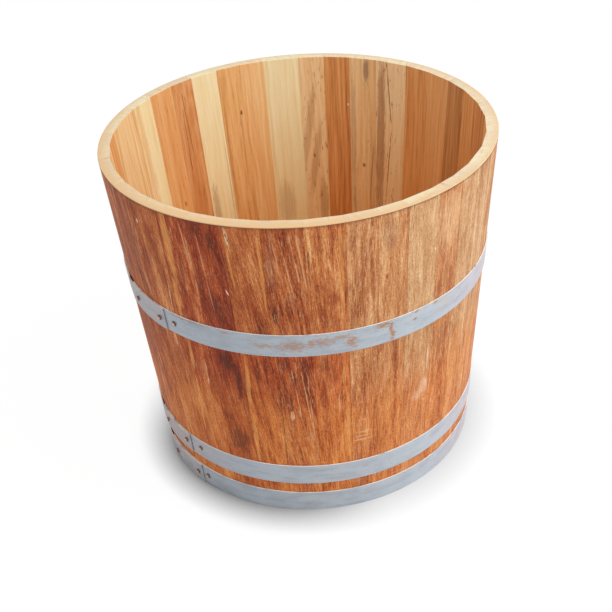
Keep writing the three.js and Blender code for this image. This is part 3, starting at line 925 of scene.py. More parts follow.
# One entry per stave, counter-clockwise from +X.
STAVE_FINISHES: tuple[StaveFinish, ...] = (
    # The inside lift of staves 1 to 9 is partly their own tone and partly painted light: it makes the
    # inside's right part paler where the lamp leaves it in shade.
    StaveFinish(RawWood(Timber.UMBER), StainedWood(Stain.WHEAT, (
        Mark(RED, 22, 350, 9, 90, 0.5), Mark(GOLD, 25, 200, 10, 120, 0.5),
    ))),
    StaveFinish(RawWood(Timber.OCHRE, lift=0.35), StainedWood(Stain.AMBER, lift=0.1)),
    StaveFinish(RawWood(Timber.OCHRE, lift=0.1), StainedWood(Stain.AMBER, (
        Mark(DARK, 43, 330, 10, 70, 0.6), Mark(PALE, 40, 390, 2, 90),
    ))),
    StaveFinish(RawWood(Timber.STRAW, (
        Mark(BROWN, 57.4, 330, 15, 300, 0.62), Mark(DARK, 54.2, 402, 1.8, 95, 0.8, 5.6),
        Mark(DARK, 53.9, 290, 1.8, 115, 0.75, -3.8), Mark(BROWN, 59, 250, 5, 120, 0.3),
    ), lift=0.5), StainedWood(Stain.AMBER)),
    StaveFinish(RawWood(Timber.STRAW, (
        Mark(GREY, 63.4, 432, 10, 34, 0.7), Mark(GREY, 61.1, 274, 2.6, 100, 0.6, -3.8),
        Mark(DARK, 64.2, 285, 5, 8, 0.7), Mark(GREY, 68.2, 220, 5, 60, 0.45),
        Mark(GREY, 68.5, 330, 9, 200, 0.3),
    ), drift=0.3), StainedWood(Stain.COPPERY, (Mark(GOLD, 66, 330, 9, 200, 0.6),))),
    StaveFinish(RawWood(Timber.OCHRE, (
        # Painted highlight: a small white glint near the stave's top, laid as a pale scratch.
        Mark(WHITE, 70.3, 378, 3, 4, 0.8),
    ), lift=-0.2), StainedWood(Stain.CHESTNUT, (
        Mark(PALE, 73, 380, 2, 100), Mark(DARK, 75, 240, 16, 40, 0.6),
    ))),
    StaveFinish(RawWood(Timber.STRAW, (
        Mark(RED, 84, 296, 4, 8, 0.8), Mark(DARK, 84, 296, 1.5, 3, 0.8), Mark(BROWN, 81, 215, 14, 90, 0.4),
        Mark(BROWN, 85.5, 340, 12, 150, 0.35, -9), Mark(BROWN, 83.5, 290, 12, 130, 0.35, -9),
    ), Figure.SLANTED, lift=0.4), StainedWood(Stain.COPPERY, lift=0.1)),
    StaveFinish(RawWood(Timber.CREAM, (
        Mark(BROWN, 96, 220, 28, 80, 0.3),
    ), lift=0.4), StainedWood(Stain.CHESTNUT, (
        Mark(RED, 93, 380, 14, 60, 0.5), Mark(PALE, 98, 300, 2, 120),
    ))),
    StaveFinish(RawWood(Timber.HONEY, lift=0.3), StainedWood(Stain.COPPERY)),
    StaveFinish(RawWood(Timber.HONEY, (
        Mark(BROWN, 110.8, 330, 3, 200, 0.35), Mark(DARK, 110.3, 378, 3, 7, 0.8),
        Mark(BROWN, 116.6, 310, 4, 240, 0.4),
    )), StainedWood(Stain.OLIVE, (Mark(GREY, 113, 400, 14, 50, 0.4),))),
    StaveFinish(RawWood(Timber.CREAM, (
        Mark(BROWN, 125.6, 240, 12, 90, 0.45), Mark(BROWN, 118.4, 270, 3, 160, 0.35),
    ), lift=0.5), StainedWood(Stain.COPPERY, (Mark(RED, 121, 320, 5, 80, 0.5),))),
    StaveFinish(RawWood(Timber.RUSSET, (
        Mark(DARK, 132.3, 380, 1.4, 120, 0.5, 2), Mark(DARK, 133.7, 350, 1.4, 120, 0.5, -1),
    ), Figure.CATHEDRAL, lift=0.2), StainedWood(Stain.CHESTNUT, lift=-0.15)),
    StaveFinish(RawWood(Timber.OCHRE, (
        Mark(RED, 140, 273, 4, 8, 0.6),
    ), lift=0.3), StainedWood(Stain.CHESTNUT, (
        Mark(GOLD, 139, 350, 8, 160, 0.7),
    ))),
    StaveFinish(RawWood(Timber.CREAM, (
        Mark(GOLD, 154.4, 360, 14, 260, 0.35),
    ), lift=0.2), StainedWood(Stain.COPPERY)),
    StaveFinish(RawWood(Timber.STRAW), StainedWood(Stain.COPPERY, (Mark(RED, 161, 330, 6, 60, 0.5),))),
    StaveFinish(RawWood(Timber.STRAW), StainedWood(Stain.CHESTNUT, (Mark(DARK, 171, 250, 16, 30, 0.6),))),
    StaveFinish(RawWood(Timber.OCHRE), StainedWood(Stain.COPPERY, lift=-0.1)),
    StaveFinish(RawWood(Timber.STRAW), StainedWood(Stain.CHESTNUT, (Mark(GREY, 187, 380, 10, 120, 0.3),))),
    StaveFinish(RawWood(Timber.RUSSET), StainedWood(Stain.CHESTNUT, lift=0.1)),
    StaveFinish(RawWood(Timber.HONEY), StainedWood(Stain.CHESTNUT, (
        Mark(GREY, 206, 230, 8, 90, 0.15), Mark(PALE, 208.4, 160, 3, 70, 0.45, 6),
        Mark(GREY, 203, 360, 8, 120, 0.15),
    ), lift=-0.25)),
    StaveFinish(RawWood(Timber.OCHRE), StainedWood(Stain.CHESTNUT, (
        Mark(GREY, 214.4, 385, 12, 110, 0.22), Mark(PALE, 217.4, 322, 2, 44, 0.6, -7),
        Mark(RED, 212.4, 168, 12, 66, 0.5), Mark(PALE, 210.8, 195, 2.4, 50, 0.5, -8),
        Mark(DARK, 215.5, 320, 3, 30, 0.5), Mark(GREY, 217.8, 205, 2, 5, 0.6),
    ), Figure.CATHEDRAL, lift=-0.15, slant=2)),
    StaveFinish(RawWood(Timber.STRAW), StainedWood(Stain.CHESTNUT, (
        Mark(WHITE, 219.7, 420, 1.8, 7, 0.95), Mark(RED, 224.2, 408, 14, 34, 0.7),
        Mark(RED, 222.8, 386, 9, 26, 0.5), Mark(PALE, 227.2, 322, 1.6, 56, 0.8, 3.4),
        Mark(DARK, 227.7, 195, 2, 26, 0.7), Mark(PALE, 225, 255, 8, 20, 0.35),
    ), slant=3, lift=0.05, wash=0.6)),
    StaveFinish(RawWood(Timber.CREAM), StainedWood(Stain.MAHOGANY, (
        Mark(GOLD, 231, 405, 12, 130, 0.85), Mark(GOLD, 230.3, 330, 8, 70, 0.75),
        Mark(GOLD, 230.8, 237, 6, 56, 0.85), Mark(GOLD, 230.1, 160, 5, 100, 0.85, 2),
        Mark(PALE, 237, 415, 1.5, 64, 0.55, -5), Mark(PALE, 238, 394, 1.5, 76, 0.5, -3),
        Mark(DARK, 234.3, 375, 5, 60, 0.6), Mark(RED, 235.5, 330, 14, 60, 0.4),
        Mark(PALE, 235.7, 226, 3, 30, 0.4), Mark(WHITE, 235.7, 208, 1.4, 8, 0.4),
    ), lift=0.25, slant=4, wash=0.6)),
    StaveFinish(RawWood(Timber.HONEY), StainedWood(Stain.MAHOGANY, (
        Mark(DARK, 245.2, 427, 9, 34, 0.7), Mark(DARK, 241.3, 437, 14, 16, 0.6),
        Mark(DARK, 240.2, 362, 6, 56, 0.65), Mark(DARK, 244.4, 328, 16, 50, 0.5),
        Mark(PALE, 241.6, 405, 1.4, 70, 0.45, -4), Mark(PALE, 242.4, 350, 1.4, 50, 0.5, -4),
        Mark(DARK, 243.6, 250, 22, 34, 0.85), Mark(DARK, 246.7, 214, 9, 60, 0.75),
        Mark(DARK, 243.5, 118, 28, 46, 0.65), Mark(WHITE, 247.8, 356, 1.6, 8, 0.9, -20),
    ), slant=4, lift=-0.05, wash=0.5)),
    StaveFinish(RawWood(Timber.OCHRE), StainedWood(Stain.CHESTNUT, (
        Mark(PALE, 250, 431, 4, 32, 0.85, -5), Mark(DARK, 249.8, 436, 1.6, 4, 0.8),
        Mark(DARK, 250.3, 429, 1.4, 4, 0.7), Mark(GOLD, 249.8, 392, 3, 74, 0.6, -4),
        Mark(GOLD, 258.1, 388, 4, 124, 0.8), Mark(RED, 253.4, 345, 16, 60, 0.5),
        Mark(GOLD, 249.7, 215, 6, 96, 0.8, 2), Mark(GOLD, 249.5, 125, 6, 90, 0.8),
        Mark(DARK, 253, 240, 10, 34, 0.6), Mark(DARK, 255.7, 240, 5, 44, 0.6),
    ), slant=6, band=0.9)),
    StaveFinish(RawWood(Timber.RUSSET), StainedWood(Stain.CHESTNUT, (
        Mark(GREY, 260.8, 400, 10, 80, 0.2), Mark(DARK, 260.3, 331, 7, 26, 0.75),
        Mark(PALE, 264.8, 391, 1.5, 84, 0.5, -8), Mark(PALE, 266.9, 404, 1.5, 86, 0.5, -7),
        Mark(PALE, 268.7, 396, 1.7, 90, 0.55, -6), Mark(PALE, 262.4, 400, 1.3, 60, 0.4, -6),
        Mark(DARK, 261.8, 255, 14, 22, 0.6), Mark(DARK, 267.6, 250, 12, 26, 0.6),
        Mark(DARK, 263.9, 222, 4, 44, 0.8), Mark(DARK, 262.4, 195, 4, 40, 0.75),
        Mark(DARK, 260.9, 212, 8, 60, 0.25), Mark(PALE, 264.2, 205, 1.6, 76, 0.5, -5),
        Mark(PALE, 267, 200, 1.8, 86, 0.55, -5), Mark(PALE, 268.2, 180, 1.4, 90, 0.45, -2),
        Mark(PALE, 262.3, 171, 5, 16, 0.6), Mark(WHITE, 262.6, 168, 1.6, 4, 0.5),
        Mark(DARK, 259.2, 165, 1, 170, 0.8),
    ), streaks=1.0, slant=6, band=1.1, wash=0.55)),
    StaveFinish(RawWood(Timber.OCHRE), StainedWood(Stain.COPPERY, (
        Mark(DARK, 270.4, 403, 2.5, 28, 0.75), Mark(RED, 270.4, 374, 2.5, 34, 0.7),
        Mark(RED, 276.5, 347, 13, 26, 0.7), Mark(RED, 272.9, 328, 16, 26, 0.55),
        Mark(GOLD, 278.8, 385, 6, 130, 0.6), Mark(DARK, 272.7, 250, 14, 26, 0.45),
        Mark(RED, 275, 235, 14, 34, 0.5), Mark(RED, 272.3, 200, 11, 56, 0.6),
        Mark(GOLD, 278.5, 233, 5, 34, 0.7), Mark(GOLD, 279.2, 140, 5, 110, 0.9),
        Mark(PALE, 276.7, 187, 4, 26, 0.5),
    ), lift=-0.05, slant=2, band=0.8, wash=0.9)),
    StaveFinish(RawWood(Timber.RUSSET), StainedWood(Stain.AMBER, (
        Mark(RED, 281.2, 197, 5, 44, 0.65), Mark(RED, 284.5, 197, 3, 44, 0.65),
        Mark(PALE, 283.7, 118, 24, 2.6, 0.75), Mark(PALE, 283.5, 124, 22, 2, 0.7),
        Mark(PALE, 284, 131, 20, 2, 0.7), Mark(PALE, 283.9, 152, 16, 2, 0.6),
        Mark(RED, 286.6, 414, 5, 13, 0.6), Mark(RED, 287.2, 362, 5, 80, 0.6),
        Mark(RED, 284.2, 380, 2, 90, 0.6),
    ), lift=-0.05, dashes=0.6)),
    StaveFinish(RawWood(Timber.HONEY), StainedWood(Stain.AMBER, (
        Mark(RED, 291.3, 364, 4, 7, 0.6), Mark(DARK, 291.3, 364, 1.2, 2.4, 0.8),
        Mark(RED, 289.6, 262, 4, 20, 0.5), Mark(GREY, 292, 420, 22, 50, 0.25),
        Mark(RED, 294.7, 240, 5, 60, 0.4),
    ), mottle=0.7, dashes=0.6)),
    StaveFinish(RawWood(Timber.CREAM), StainedWood(Stain.WHEAT, (
        Mark(WHITE, 306.6, 214, 3, 40, 0.4), Mark(WHITE, 305.6, 172, 14, 26, 0.2),
        Mark(WHITE, 303.2, 160, 16, 20, 0.18), Mark(PALE, 304.7, 415, 10, 40, 0.4),
        Mark(WHITE, 307, 376, 2, 5, 0.6), Mark(RED, 303.5, 374, 6, 3, 0.4),
    ), mottle=0.7, dashes=0.6)),
    StaveFinish(RawWood(Timber.OCHRE), StainedWood(Stain.AMBER, (
        Mark(RED, 310.6, 357, 6, 48, 0.6), Mark(RED, 309.9, 318, 7, 40, 0.65),
        Mark(RED, 314.6, 318, 8, 44, 0.65), Mark(RED, 312.4, 186, 9, 30, 0.65),
        Mark(BROWN, 311.5, 232, 14, 60, 0.4), Mark(PALE, 312, 405, 40, 80, 0.45),
    ), mottle=0.8, dashes=0.6)),
    StaveFinish(RawWood(Timber.RUSSET), StainedWood(Stain.WHEAT, (
        Mark(GOLD, 321, 190, 44, 100, 0.4), Mark(GOLD, 321, 160, 9, 70, 0.5),
        Mark(GOLD, 319.5, 95, 9, 50, 0.6), Mark(RED, 324.4, 175, 2.5, 34, 0.7),
    ), mottle=0.8, dashes=0.6)),
    StaveFinish(RawWood(Timber.STRAW), StainedWood(Stain.WHEAT, (
        Mark(GOLD, 331, 190, 44, 100, 0.45), Mark(RED, 327, 191, 4, 34, 0.6),
    ), dashes=0.6)),
    StaveFinish(RawWood(Timber.OCHRE), StainedWood(Stain.AMBER)),
    StaveFinish(RawWood(Timber.HONEY), StainedWood(Stain.COPPERY, (Mark(PALE, 352, 360, 2, 110, 0.7, 4),))),
    StaveFinish(RawWood(Timber.RUSSET), StainedWood(Stain.WHEAT)),
    StaveFinish(RawWood(Timber.OCHRE), StainedWood(Stain.AMBER, (Mark(DARK, 371, 330, 8, 40, 0.6),))),
)


# --- Staves ---


@dataclass
class StaveWall:
    """The wall of staves: each a plank leaned outwards, flat inside and dressed round outside.

    Attributes:
        wall: The wall's measures.
        joint_gap: Between neighbouring staves.
        spare: How much larger than the stave its blank is, all round.
        back_facets: How many flats dress the outside of one stave round.
        rim_arris: How far the outer edge of the rim, which is worn the most, is rounded.
        inner_share: How far its inner edge is rounded, as a share of the outer one.
        joint_arris: How far the long edges are rounded.
        unevenness: How far a stave may stand proud of its neighbours, or behind them.
        ends: The finish of the sawn ends.
    """

    wall: Wall
    joint_gap: float = 0.04 * MM
    spare: float = 4 * MM
    back_facets: int = 8
    rim_arris: float = 1.1 * MM
    inner_share: float = 0.6
    joint_arris: float = 0.2 * MM
    unevenness: float = 0.08 * MM
    ends: EndGrain = field(default_factory=EndGrain)

    def planks(self) -> list[Plank]:
        """Every stave's own frame of reference, in order."""
        pairs = zip(self.wall.joints, self.wall.joints[1:])
        return [Plank(self.wall, number, start, end) for number, (start, end) in enumerate(pairs, 1)]

    def proud(self, plank: Plank) -> float:
        """How far one stave stands proud of the wall, below zero where it lies behind it."""
        return self.unevenness * math.sin(plank.number * 2.4)

    def blank(self, plank: Plank) -> bpy.types.Object:
        """Adds the plank that a stave is cut from, standing on +X and leaning with the wall.

        Args:
            plank: The stave.

        Returns:
            The blank.
        """
        wall = self.wall
        start_clean()
        middle_radius = wall.radius(wall.height / 2)
        depth = wall.thickness * math.cos(wall.lean) + self.spare
        width = 2 * (wall.rim_radius * math.tan(plank.half_angle) + self.spare)
        length = wall.height / math.cos(wall.lean) + 4 * self.spare
        inner = (middle_radius - wall.thickness) * math.cos(plank.half_angle) + self.proud(plank)
        centre = inner + depth / 2 / math.cos(wall.lean)
        bpy.ops.mesh.primitive_cube_add(
            size=1.0,
            location=(centre, 0.0, wall.height / 2),
            rotation=(0.0, wall.lean, 0.0),
            scale=(depth, width, length),
        )
        return settle(bpy.context.object, "blank")

    def cut(self, plank: Plank, blank: bpy.types.Object) -> None:
        """Saws a blank to its two ends, its two joint faces and its round back.

        Args:
            plank: The stave.
            blank: Its blank.
        """
        wall = self.wall
        with edit_mode(blank):
            saw_off(Vector((0, 0, 0)), Vector((0, 0, -1)))
            saw_off(Vector((0, 0, wall.height)), Vector((0, 0, 1)))
            for side in SIDES:
                normal = Vector((-math.sin(plank.half_angle), side * math.cos(plank.half_angle), 0))
                saw_off(-normal * self.joint_gap / 2, normal)
            step = math.degrees(2 * plank.half_angle / self.back_facets)
            for facet in range(self.back_facets):
                angle = (facet + 0.5 - self.back_facets / 2) * step
                outward = wall.outward(angle)
                saw_off(wall.point(angle, 0.0) + outward * self.proud(plank), outward)

    def round_edges(self, plank: Plank, stave: bpy.types.Object) -> None:
        """Rounds the rim's outer edge the most and the long edges the least.

        Args:
            plank: The stave.
            stave: The stave, cut to shape and still standing on +X.
        """
        top = self.wall.height
        reach = self.wall.rim_radius - self.wall.thickness / 2

        def at_rim(a: Vector, b: Vector) -> bool:
            """Whether an edge lies in the plane of the rim."""
            return min(a.z, b.z) > top - MM / 100

        def outer_rim(a: Vector, b: Vector) -> bool:
            """Whether an edge runs along the outside of the rim."""
            return at_rim(a, b) and (a + b).xy.length / 2 > reach and abs(a.y - b.y) > abs(a.x - b.x)

        def inner_rim(a: Vector, b: Vector) -> bool:
            """Whether an edge runs along the inside of the rim."""
            return at_rim(a, b) and (a + b).xy.length / 2 < reach and abs(a.y - b.y) > 10 * MM

        def long_edge(a: Vector, b: Vector) -> bool:
            """Whether an edge runs up the wall at a joint."""
            side = min(abs(a.y) / a.x, abs(b.y) / b.x)
            return abs(a.z - b.z) > top / 2 and side > math.tan(plank.half_angle) * 0.97

        with edit_mode(stave, "EDGE"):
            pick_edges(stave, outer_rim)
            bpy.ops.transform.edge_bevelweight(value=1.0)
            pick_edges(stave, inner_rim)
            bpy.ops.transform.edge_bevelweight(value=self.inner_share)
            pick_edges(stave, long_edge)
            bpy.ops.transform.edge_bevelweight(value=self.joint_arris / self.rim_arris)
        finish_with(stave, "BEVEL", limit_method="WEIGHT", width=self.rim_arris, segments=2)

    def face_slots(self, plank: Plank, stave: bpy.types.Object) -> None:
        """Gives each face its finish: 0 stained outside, 1 raw inside and joints, 2 sawn ends.

        Args:
            plank: The stave.
            stave: The stave, turned to its place.
        """
        outward = self.wall.outward(plank.middle)
        top = self.wall.height - 1.4 * self.rim_arris
        for face in stave.data.polygons:
            facing = face.normal.dot(outward)
            at_end = face.center.z > top or face.center.z < ON_GROUND
            if at_end and facing > -0.5:
                face.material_index = 2
            else:
                face.material_index = 0 if facing > 0.5 else 1

    def build(self, croze: bpy.types.Object, drills: dict[float, bpy.types.Object]) -> None:
        """Makes, cuts and dresses every stave.

        Args:
            croze: The cutter of the groove that holds the floor.
            drills: The cutter of each rivet's hole, by its angle.
        """
        for plank, finish in zip(self.planks(), STAVE_FINISHES, strict=True):
            stave = self.blank(plank)
            self.cut(plank, stave)
            self.round_edges(plank, stave)
            carve(stave, croze)
            stave.rotation_euler.z = math.radians(plank.middle)
            settle(stave, f"dressed_stave_{plank.number:02d}")
            for angle, drill in drills.items():
                if plank.start - 2 < angle < plank.end + 2:
                    carve(stave, drill)
            smooth_shade(stave)
            finish_with(stave, "WEIGHTED_NORMAL", keep_sharp=True)
            ends = self.ends.dress(plank, finish.inside.timber)
            paint(stave, finish.outside.dress(plank), finish.inside.dress(plank), ends)
            self.face_slots(plank, stave)
            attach(stave, "root")
            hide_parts(f"stave_{plank.number:02d}")
            LOG.info("%s: %d faces", stave.name, len(stave.data.polygons))


# --- Hoops ---

# How rusty each hoop is all over, and its own marks.
HOOP_WEAR: dict[str, tuple[float, tuple[Mark, ...]]] = {
    "middle_hoop": (0.05, (
        Mark(RUST, 256, 284, 26, 8, 0.55), Mark(RUST, 264.5, 284, 40, 18, 0.55),
        Mark(RUST, 272, 288, 36, 12, 0.6), Mark(RUST, 278, 292, 26, 8, 0.6),
        Mark(RUST, 281, 283, 14, 18, 0.75), Mark(RUST, 290.3, 296, 22, 9, 0.8),
        Mark(RUST, 292.6, 290, 6, 16, 0.95, 4), Mark(RUST, 293.1, 278, 7, 16, 0.95, 4),
        Mark(RUST, 300.5, 288, 6, 6, 0.8), Mark(RUST, 301, 299, 8, 5, 0.8),
        Mark(RUST, 308, 298, 8, 5, 0.7), Mark(SCUFF, 312, 290, 30, 16, 0.45),
        Mark(RUST, 245, 296, 14, 4, 0.5), Mark(RUST, 232, 298, 60, 3, 0.6),
    )),
    "lower_hoop": (-0.3, (Mark(RUST, 258, 60, 8, 2.5, 0.4), Mark(RUST, 285, 70, 10, 2.5, 0.35))),
    "foot_hoop": (-0.3, (Mark(SCUFF, 210, 14, 10, 8, 0.7), Mark(RUST, 265, 12, 8, 2.5, 0.4))),
}


@dataclass(frozen=True)
class ZincStrip:
    """Dull galvanised strip with drawn lines and rust.

    Attributes:
        painted_light_tones: Painted light and reflection: the tone of the coating at angles round the tub,
            paler on the lit right side and dimmer and warmer on the left.
        drawn: The tint of the drawn lines and the dull clouds.
        cut_edge: The tone of its cut edges: bare steel, made near white as a painted highlight where light
            catches them.
        dull_edge: Their tone where they have dulled.
        rust: The tone of the rust.
    """

    painted_light_tones: tuple[tuple[float, int], ...] = (
        (20, 0xCAC6CC), (120, 0xB8BCC2), (190, 0xAEA4A4), (222, 0xB0AFB4), (245, 0xB0B8C1), (275, 0xB7BEC6),
        (305, 0xC0C9D2), (332, 0xCEC8D0),
    )
    drawn: Colour = (0.62, 0.64, 0.67, 1.0)
    cut_edge_highlight: int = 0xF4F2EC
    dull_edge: int = 0xC0C2C6
    rust: int = 0xB07848

    def dress(self, hoop: "HoopPlace", wall: Wall) -> bpy.types.Material:
        """Makes the material of one hoop's faces.

        Args:
            hoop: The hoop. The pattern's seam hides at the end of its strip.
            wall: The wall that it lies on.

        Returns:
            The material.
        """
        bench = Bench(f"{hoop.name}_zinc")
        seam = hoop.lap_end + FULL_TURN / 2
        place = bench.place((0, 0, 0), (0, 0, math.radians(seam)))
        x, y, height = bench.parts(place)
        turn = bench.math("ARCTAN2", y, x)
        strip = bench.whole(bench.times(turn, wall.foot_radius), 0.0, height)
        seed = hoop.lap_end
        lines = bench.grain(strip, (0.12, 0.1, 0.0011), seed, 3.0)
        clouds = bench.grain(strip, (0.03, 0.1, 0.012), seed + 1, 3.0)
        specks = bench.grain(strip, (0.006, 0.1, 0.0013), seed + 2, 3.0, 0.7)
        patches = bench.grain(strip, (0.035, 0.1, 0.02), seed + 3, 2.0)
        # Painted light and reflection: the coating's tone follows the angle round the tub, lighter where the
        # lamp falls.
        painted_light_tones = ((signed_turn(angle - seam) / FULL_TURN + 0.5, linear(code)) for angle, code in self.painted_light_tones)
        colour = bench.ramp(bench.math("MULTIPLY_ADD", turn, 1 / math.tau, 0.5), sorted(painted_light_tones))
        shade = bench.step(bench.blend(0.5, (lines, 0.9), (clouds, 1.0)), 0.65, 0.25)
        colour = bench.mix(bench.times(shade, 0.6), colour, self.drawn, "MULTIPLY")
        amount = bench.step(bench.blend(hoop.rusty, (specks, 3.0), (patches, 1.5)), 0.9, 1.25)
        amount = bench.times(amount, 0.7)
        for mark in hoop.marks:
            code, frayed = mark.kind.value
            centre = math.radians(signed_turn(mark.angle - seam)) * wall.foot_radius
            scale = (mark.width * MM / 2, 1.0, mark.length * MM / 2)
            turned = (0.0, math.radians(mark.lean), 0.0)
            local = bench.frame_of(strip, (centre, 0.0, mark.height * MM), turned, scale)
            patch = bench.times(bench.blot(local, 1.8, (specks, frayed), 0.5), mark.strength)
            if mark.kind is RUST:
                amount = bench.math("MAXIMUM", amount, patch)
            else:
                colour = bench.mix(patch, colour, linear(code))
        colour = bench.mix(amount, colour, linear(self.rust))
        rough = bench.blend(0.5, (lines, 0.3), (clouds, 0.3))
        height_map = bench.blend(0.5, (lines, 0.6), (amount, 0.4))
        return bench.finish(
            Base_Color=colour,
            Metallic=bench.math("MULTIPLY_ADD", amount, -0.25, 0.25),
            Roughness=bench.math("MULTIPLY_ADD", amount, 0.3, rough),
            Normal=bench.relief(height_map, 0.1 * MM, 0.4),
        )

    def dress_edge(self, hoop: "HoopPlace") -> bpy.types.Material:
        """Makes the material of one hoop's cut edges: bare steel painted near white as a highlight, but for
        some rust.

        Args:
            hoop: The hoop.

        Returns:
            The material.
        """
        bench = Bench(f"{hoop.name}_cut_edge")
        place = bench.place()
        wear = bench.grain(place, (0.02, 0.02, 0.02), hoop.lap_end, 3.0)
        rusted = bench.step(bench.blend(hoop.rusty, (wear, 2.0)), 0.15, 0.6)
        # Painted highlight: the cut edges are near white, as where light catches them, and duller in places.
        dull = bench.mix(bench.step(wear, 0.45, 0.7), linear(self.cut_edge_highlight), linear(self.dull_edge))
        colour = bench.mix(bench.times(rusted, 0.5), dull, linear(self.rust))
        return bench.finish(Base_Color=colour, Roughness=0.5)


@dataclass(frozen=True)
class HoopPlace:
    """Where one hoop lies.

    Attributes:
        name: Its CAD node.
        foot: Its lower edge above the ground.
        width: Of the strip.
        lap_start: The angle of the strip's inner end, under the lap.
        lap_end: The angle of its outer end.
        rusty: How many specks of rust it has, from 0 to 1.
        marks: Its patches of rust and its scuffs.
    """

    name: str
    foot: float
    width: float
    lap_start: float
    lap_end: float
    rusty: float
    marks: tuple[Mark, ...]

    @classmethod
    def measure(cls, name: str, wall: Wall, seat_face: float, lap_face: float) -> "HoopPlace":
        """Reads a hoop's place from its CAD node.

        Args:
            name: The node.
            wall: The wall that it lies on.
            seat_face: How far the strip's inner face stands off the wall at most.
            lap_face: How far the lap's outer face stands off the wall at least.

        Returns:
            The hoop's place.
        """
        low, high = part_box(name)
        standing = [(plan_angle(p), p.xy.length - wall.radius(p.z)) for p in node_points(name)]
        on_wall = sorted(angle for angle, height in standing if height < seat_face)
        gaps = [(after - before, after) for before, after in zip(on_wall, on_wall[1:])]
        lap_start = max(gaps)[1]
        lap_end = max(angle for angle, height in standing if height > lap_face)
        return cls(name, low.z, high.z - low.z, lap_start, lap_end, *HOOP_WEAR[name])


@dataclass
class HoopSet:
    """The three hoops: each a strip bent once round the wall, lapped over its own inner end.

    Attributes:
        wall: The wall that they hold.
        thickness: Of the strip.
        seat: Between a strip and what it lies on.
        climb: The length over which a strip rises over its inner end.
        climb_steps: In how many steps it rises.
        step: Of the bend, in degrees.
        arris: How far the strip's edges are rounded.
        finish: The strip's finish.
    """

    wall: Wall
    thickness: float = 1.5 * MM
    seat: float = 0.2 * MM
    climb: float = 30 * MM
    climb_steps: int = 10
    step: float = 1.5
    arris: float = 0.3 * MM
    finish: ZincStrip = field(default_factory=ZincStrip)

    def places(self) -> list[HoopPlace]:
        """The places of the three hoops, from the middle of the wall to the foot."""
        names = ("middle_hoop", "lower_hoop", "foot_hoop")
        return [HoopPlace.measure(name, self.wall, self.thickness / 3, self.thickness * 2) for name in names]

    def bend(self, hoop: HoopPlace) -> bpy.types.Object:
        """Bends one strip round the wall, from its inner end to its outer end over it.

        Args:
            hoop: Where it lies.

        Returns:
            The strip, without its rivets' holes.
        """
        start_clean()
        wall = self.wall
        middle = hoop.foot + hoop.width / 2
        centre = wall.point(0.0, middle) + wall.outward(0.0) * (self.seat + self.thickness / 2)
        upright = (math.radians(90), wall.lean, 0.0)
        bpy.ops.mesh.primitive_plane_add(size=1.0, location=centre, rotation=upright)
        strip = bpy.context.object
        strip.scale = (self.thickness, hoop.width / math.cos(wall.lean), 1.0)
        settle(strip, "strip")
        climb = math.degrees(self.climb / wall.radius(middle))
        with edit_mode(strip):
            bpy.ops.mesh.select_all(action="SELECT")
            self.sweep(FULL_TURN - climb)
            lifted = 0.0
            for number in range(1, self.climb_steps + 1):
                self.sweep(climb / self.climb_steps)
                share = number / self.climb_steps
                lift = (self.thickness + self.seat) * share * share * (3 - 2 * share)
                angle = -climb + climb * share
                bpy.ops.transform.translate(value=wall.outward(angle) * (lift - lifted))
                lifted = lift
            self.sweep(hoop.lap_end - hoop.lap_start)
            close_up()
        strip.rotation_euler.z = math.radians(hoop.lap_start)
        settle(strip, f"dressed_{hoop.name}")
        corner = math.radians(50)
        finish_with(strip, "BEVEL", limit_method="ANGLE", angle_limit=corner, width=self.arris, segments=2)
        return strip

    def sweep(self, degrees: float) -> None:
        """Spins the selected end of the strip on round the tub, counter-clockwise."""
        steps = max(1, round(degrees / self.step))
        bpy.ops.mesh.spin(steps=steps, angle=math.radians(-degrees), center=(0, 0, 0), axis=(0, 0, 1))

    def build(self, drills: dict[float, bpy.types.Object]) -> None:
        """Makes and dresses the hoops.

        Args:
            drills: The cutter of each rivet's hole, by its angle.
        """
        for hoop in self.places():
            strip = self.bend(hoop)
            for drill in drills.values():
                if drill.name.startswith(hoop.name):
                    carve(strip, drill)
            smooth_shade(strip, 30.0)
            finish_with(strip, "WEIGHTED_NORMAL", keep_sharp=True)
            paint(strip, self.finish.dress(hoop, self.wall), self.finish.dress_edge(hoop))
            for face in strip.data.polygons:
                face.material_index = int(abs(face.normal.z) > 0.6)
            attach(strip, "root")
            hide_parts(hoop.name)
            LOG.info("%s: %d faces", strip.name, len(strip.data.polygons))


# --- Rivets ---


@dataclass(frozen=True)
class CopperHead:
    """Hammered copper with a dark ring round the edge of its head, dirt and painted shade where it meets the
    strip.

    Attributes:
        copper: The tone of the metal.
        tarnish: The tone in its hollows.
        grime_and_shade: The tone of the ring round it, dirt and painted shade.
    """

    copper: int = 0xE2B298
    tarnish: int = 0xAE7658
    grime_and_shade: int = 0x33251F

    def dress(self, name: str, seat: Vector, radius: float, seed: float) -> bpy.types.Material:
        """Makes one rivet's material.

        Args:
            name: The rivet's name.
            seat: The middle of its head, on the strip.
            radius: Of its head.
            seed: Makes it its own.

        Returns:
            The material.
        """
        bench = Bench(f"{name}_copper")
        place = bench.place(tuple(seat))
        blows = bench.grain(place, (0.0016, 0.0016, 0.0016), seed, 2.0)
        dirt = bench.grain(place, (0.0008, 0.0008, 0.0008), seed + 1, 2.0)
        # Dirt and painted shade: the edge of the head is darkened all round, where it meets the strip.
        reach = bench.math("DIVIDE", bench.vector("LENGTH", place), radius)
        at_rim = bench.step(bench.waver(reach, dirt, 0.5), 0.86, 1.04)
        colour = bench.mix(bench.step(blows, 0.45, 0.7), linear(self.copper), linear(self.tarnish))
        return bench.finish(
            Base_Color=bench.mix(at_rim, colour, linear(self.grime_and_shade)),
            Metallic=0.35,
            Roughness=bench.math("MULTIPLY_ADD", blows, 0.3, 0.22),
            Normal=bench.relief(blows, 0.3 * MM, 0.6),
        )


